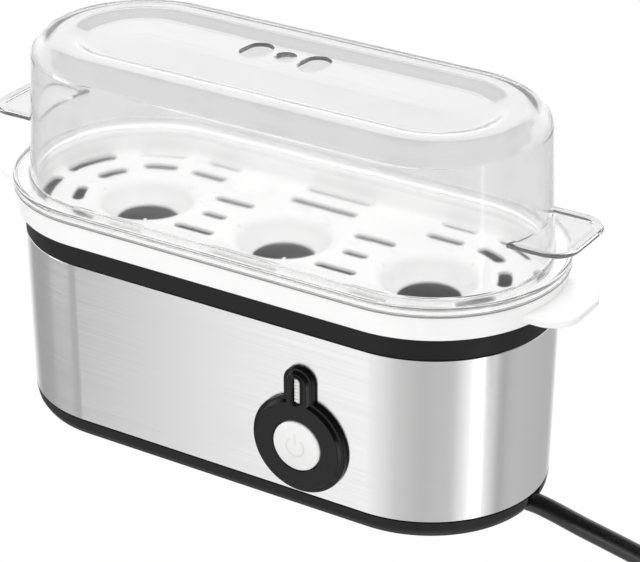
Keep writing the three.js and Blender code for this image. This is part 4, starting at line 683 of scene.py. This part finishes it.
def add_sleeve():
    wall, edge, rolled = 0.8, 0.22, 0.55
    inner, outer = -1.8, 1
    sleeve = stadium([
        (SLEEVE_FOOT_RADIUS, SLEEVE_Z, edge), (SLEEVE_TOP_RADIUS, SLEEVE_TOP, rolled),
        (SLEEVE_TOP_RADIUS - wall, SLEEVE_TOP, edge), (SLEEVE_FOOT_RADIUS - wall, SLEEVE_Z, edge),
    ], True, 120)
    hole = standing(13.1, inner, outer, 64)
    window = moved(plate(slot_outline(15.6, 8.6), [(0, inner, 0), (0, outer, 0)]), WINDOW)
    sleeve = combined(sleeve, moved(joined([hole, window]), PANEL))
    add_piece("sleeve", sleeve, STEEL, replaces=["steel_sleeve"])


def add_housing():
    band, inner, shelf, skirt, skirt_inner = 46.9, 45.7, 39, 45.5, 43.5
    shelf_foot, skirt_foot = 76.5, 66
    ring = stadium([
        (band, BAND_Z, 0.15), (band, BAND_TOP, 0.3), (inner, BAND_TOP, 0.3), (inner, SHELF_TOP, 0.3),
        (shelf, SHELF_TOP, 0.3), (shelf, shelf_foot, 0.3), (skirt_inner, shelf_foot, 0.3),
        (skirt_inner, skirt_foot, 0.3), (skirt, skirt_foot, 0.5), (skirt, BAND_Z, 0),
    ], True)
    posts = in_corners(*POST_PLACE)
    ring = combined(ring, repeated(standing(2.6, 20, 77.5), posts), "UNION")
    ring = combined(ring, repeated(standing(POST_BORE, 19, 30.9), posts))
    add_piece("band_housing", ring, BLACK_PLASTIC, replaces=["upper_housing"])


def add_bowl():
    floor, corner, draft, lip, wall, flange = 31, 4.8, 0.6, 1.6, 0.8, 44.5
    side = floor + corner
    bowl = stadium([
        (0, BOWL_Z, 0), (side, BOWL_Z, corner), (side + draft, FLANGE_TOP, lip), (flange, FLANGE_TOP, 0.2),
        (flange, FLANGE_TOP - wall, 0.2), (side + draft + wall, FLANGE_TOP - wall, lip - wall),
        (side + wall, BOWL_Z - wall, corner + wall), (0, BOWL_Z - wall, 0),
    ])
    add_piece("bowl", bowl, BOWL_COATING, replaces=["heating_bowl"])


# ---------------------------------------------------------------- control panel

def add_panel():
    flange_top, bezel_top, frame_top = GAP + 1.7, 3.3, 3.7
    flange = plate(bezel_outline(19.75, 6.3, 31.9), [
        (0, GAP, 0), (0, flange_top, 0.8), (1.3, flange_top, 0.2), (2.2, bezel_top, 0.3),
        (3.2, bezel_top, 0),
    ])
    frame_ring = moved(plate(
        slot_outline(13, 5.2, CORNER_STEPS),
        [(0, 1, 0), (0, frame_top, 0.3), (0.9, frame_top, 0.3), (0.9, 1, 0)], True,
    ), WINDOW)
    guide = standing(12.8, -5.7, 2, 64)
    lamp_box = moved(plate(slot_outline(15, 8, CORNER_STEPS), [(0, -9, 0), (0, 1.5, 0)]), WINDOW)
    bezel = combined(flange, guide, "UNION")
    bezel = combined(bezel, lamp_box, "UNION")
    bore = turned([
        (0, -6.7, 0), (10.2, -6.7, 0), (10.2, bezel_top, 0.5), (11.4, bezel_top + 0.02, 0), (11.4, 6, 0),
        (0, 6, 0),
    ])
    window = moved(plate(slot_outline(11.4, 3.6, CORNER_STEPS), [(0, -4, 0), (0, 5, 0)]), WINDOW)
    cell = moved(plate(slot_outline(12.6, 5, CORNER_STEPS), [(0, -10, 0), (0, -3, 0)]), WINDOW)
    for cut in (bore, window, cell):
        bezel = combined(bezel, cut)
    bezel = combined(bezel, frame_ring, "UNION")
    add_piece("panel_bezel", moved(bezel, PANEL), BLACK_GLOSS, replaces=["bezel"])
    add_lens()


def add_lens():
    """The lamp's window: a row of small round ribs across a flat pane."""
    front, pitch, radius, reach = 2.1, 1.4, 0.62, 1.25
    rib = turned([(0, -reach, 0), (radius, -reach, 0.3), (radius, reach, 0.3), (0, reach, 0)], steps=20)
    moved(rib, Matrix.Rotation(pi / 2, 4, "Y"))
    ribs = repeated(rib, [(0, pitch * at, front - 0.05) for at in range(-3, 4)])
    lens = plate(slot_outline(10.8, 3), [(0, -3, 0), (0, front, 0.2), (0.5, front, 0)])
    lens = combined(moved(lens, QUARTER_TURN), ribs, "UNION")
    lens = moved(lens, PANEL @ Matrix.Translation((0, WINDOW_Y, 0)))
    add_piece("lens", lens, MILKY_LENS, replaces=["indicator_lens"])


BUTTON_RADIUS, BUTTON_RIM, BUTTON_CROWN = 9.9, 3.7, 0.8
DOME_RADIUS = (BUTTON_RADIUS ** 2 + BUTTON_CROWN ** 2) / (2 * BUTTON_CROWN)


def dome(radius):
    """The height of the button's domed face at a distance from its middle."""
    return BUTTON_RIM + BUTTON_CROWN - DOME_RADIUS + sqrt(DOME_RADIUS ** 2 - radius ** 2)


def add_button():
    stem, hollow, skirt, roof = 1.7, 8.3, 11.6, 2.1
    rim = [(BUTTON_RADIUS - 0.55 * (1 - cos(a)), BUTTON_RIM - 0.6 + 0.62 * sin(a), 0)
           for a in (radians(step * 18) for step in range(5))]
    face = [(radius, dome(radius), 0) for radius in (9.3, 8.8, 8, 7, 6, 5, 4, 3, 2, 1)]
    button = turned([
        (0, -8, 0), (stem, -8, 0.3), (stem, roof, 0.4), (hollow, roof, 0.4), (hollow, -7.2, 0.2),
        (skirt, -7.2, 0.2), (skirt, -6, 0.3), (BUTTON_RADIUS, -6, 0), *rim, *face,
        (0, BUTTON_RIM + BUTTON_CROWN, 0),
    ])
    add_piece(
        "button", moved(button, PANEL), WHITE_BUTTON, "button", replaces=["power_button"],
    )
    add_power_mark()


def add_power_mark():
    """A plain power sign, an open ring and a bar, printed a little proud of the button's dome."""
    half_stroke, radius, height, sunk = 0.36, 3.7, 0.07, -0.3
    section = [(-1, sunk), (-1, height * 0.4), (-0.7, height), (0.7, height), (1, height * 0.4), (1, sunk)]
    ring = [(radius * sin(radians(a)), radius * cos(radians(a))) for a in range(36, 325, 8)]
    bar = [(0, 5.4 - 0.4 * step) for step in range(12)]
    marks = []
    for line in (ring, bar):
        rows = []
        for at, (x, y) in enumerate(line):
            ahead, behind = line[min(at + 1, len(line) - 1)], line[max(at - 1, 0)]
            along = Vector((ahead[0] - behind[0], ahead[1] - behind[1])).normalized()
            across = Vector((along.y, -along.x)) * half_stroke
            row = []
            for side, lift in section:
                px, py = x + side * across.x, y + side * across.y
                row.append((px, py, dome(hypot(px, py)) + lift))
            rows.append(row)
        marks.append(loft(rows, capped=True))
    add_piece("power_mark", moved(joined(marks), PANEL), MARK_GREY, "button")


# ---------------------------------------------------------------- tray

EGG_RADIUS, CUP_RISE, CUP_WALL, CUP_HOLE = 19.6, 6.5, 1.8, 12.0
TRAY_SHEET = 1.3
LIP_ROUND = 6.5


def cup_hollow():
    """The cut for one egg seat: a sphere that flares into the floor with a round lip, and its hole."""
    low, high = -24, 8
    lip_height = -LIP_ROUND + 0.02
    lip_radius = sqrt((EGG_RADIUS + LIP_ROUND) ** 2 - (CUP_RISE - lip_height) ** 2)
    angle_in = degrees(atan2(CUP_RISE - lip_height, lip_radius))
    hole_z = CUP_RISE - sqrt(EGG_RADIUS ** 2 - CUP_HOLE ** 2)
    start = degrees(atan2(hole_z - CUP_RISE, CUP_HOLE))
    seat = arc((0, CUP_RISE), EGG_RADIUS, start, -angle_in, 14)
    lip = arc((lip_radius, lip_height), LIP_ROUND, 180 - angle_in, 90, 10)
    outline = [
        (0, low), (CUP_HOLE, low), (CUP_HOLE, hole_z), *seat[1:], *lip[1:], (lip_radius, high), (0, high),
    ]
    return turned([(radius, height, 0) for radius, height in outline], steps=128)


def tray_slots():
    """Cutters for the steam slots, their top edges eased."""
    through, above, eased, eased_z = -4, 1, -0.2, 0.03
    edge = [(0.15, through, 0), (0.05, -0.3, 0.2), (eased, eased_z, 0), (eased, above, 0)]
    cutters = []

    def at(x, y, flip_x=1, flip_y=1):
        return Matrix.Translation((x, y, TRAY_Z)) @ Matrix.Diagonal((flip_x, flip_y, 1, 1))

    def cut(outline, place):
        cutters.append(moved(plate(outline, edge), place))

    def cut_leaning(upper, lower, inwards, place):
        """A slot that is narrower below and lies nearer to the middle there, so its outer wall slopes."""
        rows = [
            [(x, y - nearer, height) for x, y in outline(inset)] for outline, inset, height, nearer in (
                (lower, 0, through, inwards), (lower, 0, -1.0, inwards), (upper, 0.1, -0.2, 0),
                (upper, eased, eased_z, 0), (upper, eased, above, 0),
            )
        ]
        cutters.append(moved(loft(rows, capped=True), place))

    inner_y, outer_y, width = 28.5, 40.2, 4
    for side in (1, -1):
        for x, length in ((0, 29.6), (53, 16), (-53, 16)):
            cut(slot_outline(length, width), at(x, side * inner_y))
            cut_leaning(
                slot_outline(length, width), slot_outline(length - 0.6, width - 1), 0.5,
                at(x, side * outer_y, 1, side),
            )
        cut(slot_outline(10.8, width), at(side * CUP_PITCH / 2, 0))
        for y in (13.9, -13.9):
            cut(slot_outline(17.5, width), at(side * CUP_PITCH / 2, y))
        # Rows round the ends: radius, width on the far side and on the near one, first and last degree.
        # The right end has one wide slot.
        for row, far, near, first, last in (
            (27, 5.2, 8, 16, 33) if side > 0 else (26.4, 5.2, 5.2, 16, 33),
            (28.5, 5.2, 4.6, 58, 76), (40.2, 5.2, 5.2, 8, 34),
        ):
            for mirror, across in ((1, far), (-1, near)):
                cut(arc_slot_outline(row, across, first, last), at(side * SPINE, 0, side, mirror))
        for mirror in (1, -1):
            cut_leaning(
                arc_slot_outline(40.2, 4.6, 53, 77), arc_slot_outline(39.4, 2.8, 53, 77), 0,
                at(side * SPINE, 0, side, mirror),
            )
    return joined(cutters)


def add_tray():
    wall, rim, skirt_foot, skirt_wall = 45.4, 50.4, 49.5, 1.7
    inside = wall - 1.8
    skirt_z, ledge_z = TRAY_TOP - 9.9, 92.6
    tray = stadium([
        (0, TRAY_Z - TRAY_SHEET, 0), (wall, TRAY_Z - TRAY_SHEET, 1.2), (wall, ledge_z, 0.3),
        (rim - skirt_wall, ledge_z, 0.5), (skirt_foot - skirt_wall, skirt_z, 0.4),
        (skirt_foot, skirt_z, 0.5), (rim, TRAY_TOP, 0.9), (inside + 0.9, TRAY_TOP, 0.9),
        (inside - 0.1, TRAY_Z, 2.2), (0, TRAY_Z, 0),
    ], steps=96)
    tab_z, tab_top = 87, 90
    tab = plate(tab_outline(63.3, 17.2, 11), [
        (0.6, tab_z, 0), (0, tab_z, 0.6), (0, tab_top, 1.1), (6, tab_top, 0),
    ])
    inside_skirt = stadium([(0, 80, 0), (48.2, 80, 0), (49.6, 96, 0), (0, 96, 0)])
    tab = combined(tab, shifted(inside_skirt, (-SPINE, 0, 0)))
    tray = combined(tray, at_both_ends(tab), "UNION")

    shell_radius, shell_foot = EGG_RADIUS + CUP_WALL, 14
    shell_start = degrees(atan2(-sqrt(shell_radius ** 2 - shell_foot ** 2), shell_foot))
    outer = arc((0, CUP_RISE), shell_radius, shell_start, -15, 12)
    cup = turned([(0, outer[0][1], 0), *[(r, z, 0) for r, z in outer], (0, outer[-1][1], 0)])
    tray = combined(tray, repeated(cup, CUP_PLACES), "UNION")
    tray = combined(tray, repeated(cup_hollow(), CUP_PLACES))

    dimple, depth = 8.8, 2.6
    ball = (dimple ** 2 + depth ** 2) / (2 * depth)
    bottom = [
        (ball * sin(turn), ball - depth - ball * cos(turn), 0)
        for turn in (radians(2.8 * step) for step in range(1, 11))
    ]
    boss = turned([
        (0, -depth - TRAY_SHEET, 0), (dimple - 3, -depth - TRAY_SHEET, 3),
        (dimple + 1, -TRAY_SHEET + 0.2, 0), (0, -TRAY_SHEET + 0.2, 0),
    ], steps=64)
    tray = combined(tray, repeated(boss, in_corners(*DIMPLE_PLACE)), "UNION")
    hollow = turned([
        (0, -depth, 0), *bottom, (dimple - 0.2, -0.3, 0.8), (dimple + 1.4, 0.03, 0), (dimple + 1.4, 1, 0),
        (0, 1, 0),
    ], steps=64)
    tray = combined(tray, repeated(hollow, in_corners(*DIMPLE_PLACE)))
    tray = combined(tray, tray_slots())

    seat_edge = sqrt(EGG_RADIUS ** 2 - CUP_RISE ** 2)
    lugs = joined([
        moved(turned([(0, -2, 0), (0.65, -2, 0), (0.65, -0.3, 0.5), (0, -0.3, 0)], steps=20),
              Matrix.Translation(place) @ Matrix.Rotation(radians(angle), 4, "Z")
              @ Matrix.Translation((seat_edge + 0.8, 0, 0)))
        for place in CUP_PLACES for angle in (-57, 63, 183)
    ])
    tray = combined(tray, lugs, "UNION")
    add_piece("tray", tray, WHITE_TRAY, "tray", replaces=["egg_tray"])


# ---------------------------------------------------------------- lid

def add_lid():
    wall, top_wall, lip_wall = 2, 1.3, 1.8
    foot, shoulder, crown, recess, slope = 44.3, 42, 35.7, 26, 4
    rim, rim_top = 51, LID_Z + 3.5
    spigot, spigot_z = 43.9, LID_Z - 1.8
    # The sunken panel is domed by the bow, and flat round the middle
    recess_z, bow, middle = LID_TOP - 2.2, 0.9, 3
    near_bow = bow - 0.05
    lid = stadium([
        (0, recess_z - top_wall + bow, 0), (middle, recess_z - top_wall + near_bow, 3),
        (recess - slope + 0.3, recess_z - top_wall, 9), (recess + 0.3, LID_TOP - top_wall, 6.7),
        (crown - 1.2, LID_TOP - top_wall, 6), (shoulder - wall, LID_SHOULDER_Z + 1, 4),
        (foot - wall, rim_top, 1), (spigot - 1.4, spigot_z, 0.6), (spigot, spigot_z, 0.6),
        (spigot, rim_top - wall, 0.3), (rim - lip_wall, rim_top - wall, 0.4), (rim - lip_wall, LID_Z, 0.3),
        (rim, LID_Z, 0.3), (rim, rim_top, 0.9), (foot, rim_top, 0.8), (shoulder, LID_SHOULDER_Z, 2.0),
        (shoulder - 0.5, LID_SHOULDER_Z + 2.2, 3.5), (crown + 1.6, LID_TOP - 0.6, 7),
        (crown - 1.5, LID_TOP, 8), (recess, LID_TOP, 8), (recess - slope, recess_z, 8),
        (middle, recess_z + near_bow, 3), (0, recess_z + bow, 0),
    ], steps=120)

    tab_top = LID_Z + 21.2
    tab_z, dish_z = tab_top - 1.9, tab_top - 0.6
    tab = plate(tab_outline(62.8, 18.2, 10), [
        (1.2, tab_z, 0), (0, tab_z, 0.9), (0, tab_top, 0.9), (3.4, tab_top, 0.6), (4.4, dish_z, 0.8),
        (6, dish_z, 0),
    ])
    lean = (shoulder - foot) / (LID_SHOULDER_Z - rim_top)

    def mid_wall(height):
        return foot + (height - rim_top) * lean - wall / 2

    low, high = tab_z - 2, tab_top + 2
    inside_wall = stadium([(0, low, 0), (mid_wall(low), low, 0), (mid_wall(high), high, 0), (0, high, 0)])
    tab = combined(tab, shifted(inside_wall, (-SPINE, 0, 0)))
    lid = combined(lid, at_both_ends(tab), "UNION")

    # Two vents go through, and the mark between them is shallow
    vent_y, through, shallow = 12.4, recess_z - 4, recess_z - 0.8
    vents = []
    for x, length, width, vent_z in (
        (-19.9, 13.8, 8, through), (5.3, 13.8, 8, through), (-7.3, 7, 6, shallow),
    ):
        vent = plate(slot_outline(length, width), [
            (0.9, vent_z, 0), (-0.7, recess_z - 0.2, 0.6), (-1.2, recess_z + 0.5, 0),
            (-1.2, recess_z + 1, 0),
        ])
        vents.append(moved(vent, Matrix.Translation((x, vent_y, 0)) @ QUARTER_TURN))
    lid = combined(lid, joined(vents))
    add_piece("clear_lid", lid, CLEAR_LID, "lid", replaces=["lid"])

    # A thin grey ring in the gap under the lip: painted shadow between lid and tray, not a real part
    inner, outer, low, high = 50.35, rim - 0.05, LID_Z - 0.6, LID_Z - 0.02
    gap_shadow_ring = stadium([(inner, low, 0), (outer, low, 0.1), (outer, high, 0), (inner, high, 0)], True, 96)
    add_piece("lid_gap_shadow_ring", gap_shadow_ring, GAP_SHADOW, "lid")


# ---------------------------------------------------------------- studio

# What the steel mirrors: sRGB greys by azimuth in degrees round the cooker, 0 in front and + to the
# left. Over 255 is brighter than white, and the steel gives back a share of it all.
STUDIO_GREYS = [
    (-180, 172), (-140, 180), (-118, 190), (-106, 184), (-99, 160), (-88, 234), (-80, 256), (-70, 254),
    (-60, 226), (-52, 196), (-24, 189), (-2, 203), (13, 228), (21, 237), (28, 250), (31, 266), (33.5, 266),
    (35, 254), (36, 226), (37.2, 174), (38.4, 154), (41, 172), (48, 178), (59, 172), (90, 160), (110, 153),
    (122, 228), (150, 245), (170, 228), (178, 176), (180, 172),
]
STEEL_SHARE = 0.74
# A narrow light within those greys, by azimuth, and how much stronger its core is
STRIP_EDGES = (-79, -73)
STRIP_STRENGTH = 3
# What the lid mirrors and bends: heights are those of a ray's direction. Above the greys stands a
# bright backdrop behind the cooker, under a dark ceiling; the near side is a dark room.
GREYS_TOP = (-0.05, 0.15)
BACKDROP_TOP = (0.474, 0.486)
BACKDROP_LEVEL, CEILING_LEVEL = 1.45, 0.03
BACKDROP_SIDE = (-0.2, 0.2)
NEAR_SHARE = 0.06
LEAST_THROUGH_LID = 0.14
# The even light on all that is dull, and the floor as the lid and the camera see it
EVEN_LEVEL = 0.78
FLOOR_THROUGH_LID = 0.78
FLOOR_SHARE = 0.98


def add_world():
    """White for the camera, even light for dull surfaces, and a studio for the steel and the lid."""
    world = bpy.data.worlds.new("studio")
    bpy.context.scene.world = world
    world.use_nodes = True
    tree = world.node_tree
    tree.nodes.clear()
    way = add_node(tree, "ShaderNodeTexCoord").outputs["Generated"]
    parts = add_node(tree, "ShaderNodeSeparateXYZ", {"Vector": way})
    left = add_node(tree, "ShaderNodeMath", {0: parts.outputs["X"], 1: -1.0}, operation="MULTIPLY")
    front = add_node(tree, "ShaderNodeMath", {0: parts.outputs["Y"], 1: -1.0}, operation="MULTIPLY")
    azimuth = add_node(tree, "ShaderNodeMath", {
        0: left.outputs[0], 1: front.outputs[0],
    }, operation="ARCTAN2")

    share = add_node(tree, "ShaderNodeMapRange", {
        "Value": azimuth.outputs[0], "From Min": -pi, "From Max": pi,
    })
    greys = add_node(tree, "ShaderNodeValToRGB", {"Fac": share.outputs["Result"]})
    stops = greys.color_ramp.elements
    while len(stops) > 1:
        stops.remove(stops[-1])
    for at, (angle, grey) in enumerate(STUDIO_GREYS):
        position = (angle + 180) / 360
        stop = stops[0] if at == 0 else stops.new(position)
        stop.position = position
        level = ((grey / 255 + 0.055) / 1.055) ** 2.4 / STEEL_SHARE
        stop.color = (level, level, level, 1)

    across = add_node(tree, "ShaderNodeMapRange", {
        "Value": azimuth.outputs[0], "To Min": -1, "To Max": 1,
        "From Min": radians(STRIP_EDGES[0]), "From Max": radians(STRIP_EDGES[1]),
    })
    from_core = add_node(tree, "ShaderNodeMath", {0: across.outputs["Result"], 1: 2.0}, operation="POWER")
    strength = add_node(tree, "ShaderNodeMapRange", {
        "Value": from_core.outputs[0], "From Min": 0, "From Max": 1, "To Min": STRIP_STRENGTH, "To Max": 1,
    })

    over_greys = add_node(tree, "ShaderNodeMapRange", {
        "Value": parts.outputs["Z"], "From Min": GREYS_TOP[0], "From Max": GREYS_TOP[1],
    }, interpolation_type="SMOOTHSTEP")
    backdrop = add_node(tree, "ShaderNodeMapRange", {
        "Value": parts.outputs["Z"], "From Min": BACKDROP_TOP[0], "From Max": BACKDROP_TOP[1],
        "To Min": BACKDROP_LEVEL, "To Max": CEILING_LEVEL,
    }, interpolation_type="SMOOTHSTEP")
    turn = radians(CAMERA_AZIMUTH)
    backwards = add_node(tree, "ShaderNodeVectorMath", {
        0: way, 1: (-sin(turn), cos(turn), 0),
    }, operation="DOT_PRODUCT")
    behind = add_node(tree, "ShaderNodeMapRange", {
        "Value": backwards.outputs["Value"], "From Min": BACKDROP_SIDE[0], "From Max": BACKDROP_SIDE[1],
        "To Min": NEAR_SHARE, "To Max": 1,
    }, interpolation_type="SMOOTHSTEP")
    rays = add_node(tree, "ShaderNodeLightPath")
    least = add_node(tree, "ShaderNodeMath", {
        0: rays.outputs["Is Transmission Ray"], 1: LEAST_THROUGH_LID,
    }, operation="MULTIPLY")
    room = add_node(tree, "ShaderNodeMath", {
        0: backdrop.outputs[0], 1: behind.outputs[0],
    }, operation="MULTIPLY")
    upper = add_node(tree, "ShaderNodeMath", {0: room.outputs[0], 1: least.outputs[0]}, operation="MAXIMUM")
    whole = add_node(tree, "ShaderNodeMix", {
        0: over_greys.outputs["Result"], 6: greys.outputs["Color"], 7: upper.outputs[0],
    }, data_type="RGBA")

    mirrored = add_node(tree, "ShaderNodeBackground", {
        "Color": whole.outputs[2], "Strength": strength.outputs["Result"],
    })
    even = add_node(tree, "ShaderNodeBackground", {"Color": colour("#ffffff"), "Strength": EVEN_LEVEL})
    white = add_node(tree, "ShaderNodeBackground", {"Color": colour("#ffffff"), "Strength": 1})
    bent = add_node(tree, "ShaderNodeMath", {
        0: rays.outputs["Is Glossy Ray"], 1: rays.outputs["Is Transmission Ray"],
    }, operation="MAXIMUM")
    around = add_node(tree, "ShaderNodeMixShader", {
        0: bent.outputs[0], 1: even.outputs[0], 2: mirrored.outputs[0],
    })
    seen = add_node(tree, "ShaderNodeMixShader", {
        0: rays.outputs["Is Camera Ray"], 1: around.outputs[0], 2: white.outputs[0],
    })
    add_node(tree, "ShaderNodeOutputWorld", {"Surface": seen.outputs[0]})


def add_floor():
    """A sweep of white paper: white to the camera, a shade darker through the lid, and under it all
    dull paper that keeps a little of the cooker's shadow."""
    mesh = bmesh.new()
    bmesh.ops.create_grid(mesh, x_segments=1, y_segments=1, size=6)
    floor = to_object("floor", mesh)
    finish = bpy.data.materials.new("white_paper_sweep")
    finish.use_nodes = True
    tree = finish.node_tree
    tree.nodes.clear()
    paper = add_node(tree, "ShaderNodeBsdfDiffuse", {"Color": colour("#f0f0f0")})
    rays = add_node(tree, "ShaderNodeLightPath")
    bright = add_node(tree, "ShaderNodeMapRange", {
        "Value": rays.outputs["Is Camera Ray"], "From Min": 0, "From Max": 1,
        "To Min": FLOOR_THROUGH_LID, "To Max": 1,
    })
    glow = add_node(tree, "ShaderNodeEmission", {
        "Color": colour("#ffffff"), "Strength": bright.outputs["Result"],
    })
    seen = add_node(tree, "ShaderNodeMath", {
        0: rays.outputs["Is Camera Ray"], 1: rays.outputs["Is Transmission Ray"],
    }, operation="MAXIMUM")
    share = add_node(tree, "ShaderNodeMath", {0: seen.outputs[0], 1: FLOOR_SHARE}, operation="MULTIPLY")
    mix = add_node(tree, "ShaderNodeMixShader", {
        0: share.outputs[0], 1: paper.outputs[0], 2: glow.outputs[0],
    })
    add_node(tree, "ShaderNodeOutputMaterial", {"Surface": mix.outputs[0]})
    floor.data.materials.append(finish)
    floor.visible_glossy = False


def add_lamp(name, place, size, power, aim=(0, 0, 60), mirrored=False):
    """A soft lamp of a size and place in millimetres and a power in watts. The lid doesn't bend it,
    and the steel shows it only where it is mirrored."""
    lamp = bpy.data.lights.new(name, "AREA")
    lamp.shape = "RECTANGLE"
    lamp.size, lamp.size_y = size[0] * MM, size[1] * MM
    lamp.energy = power
    holder = bpy.data.objects.new(name, lamp)
    way = (Vector(place) - Vector(aim)).to_track_quat("Z", "Y")
    holder.matrix_world = Matrix.Translation(Vector(place) * MM) @ way.to_matrix().to_4x4()
    holder.visible_glossy = mirrored
    holder.visible_transmission = False
    bpy.context.scene.collection.objects.link(holder)


def add_studio():
    add_world()
    add_floor()
    add_lamp("overhead_softbox", (-100, 200, 1500), (1400, 1400), 7.6)
    add_lamp("front_softbox", (900, -1300, 900), (900, 900), 5.2)
    add_lamp("low_strip", (-1043, -767, 88), (500, 220), 2.2, (130, -5, 4), True)
    bpy.context.scene.view_settings.view_transform = "Standard"


add_camera()
add_cord_and_plug()
add_base()
add_sleeve()
add_housing()
add_bowl()
add_panel()
add_button()
add_tray()
add_lid()
for node_name, finish in NODE_FINISHES.items():
    for finish_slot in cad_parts[node_name].material_slots:
        finish_slot.material = finish
add_studio()
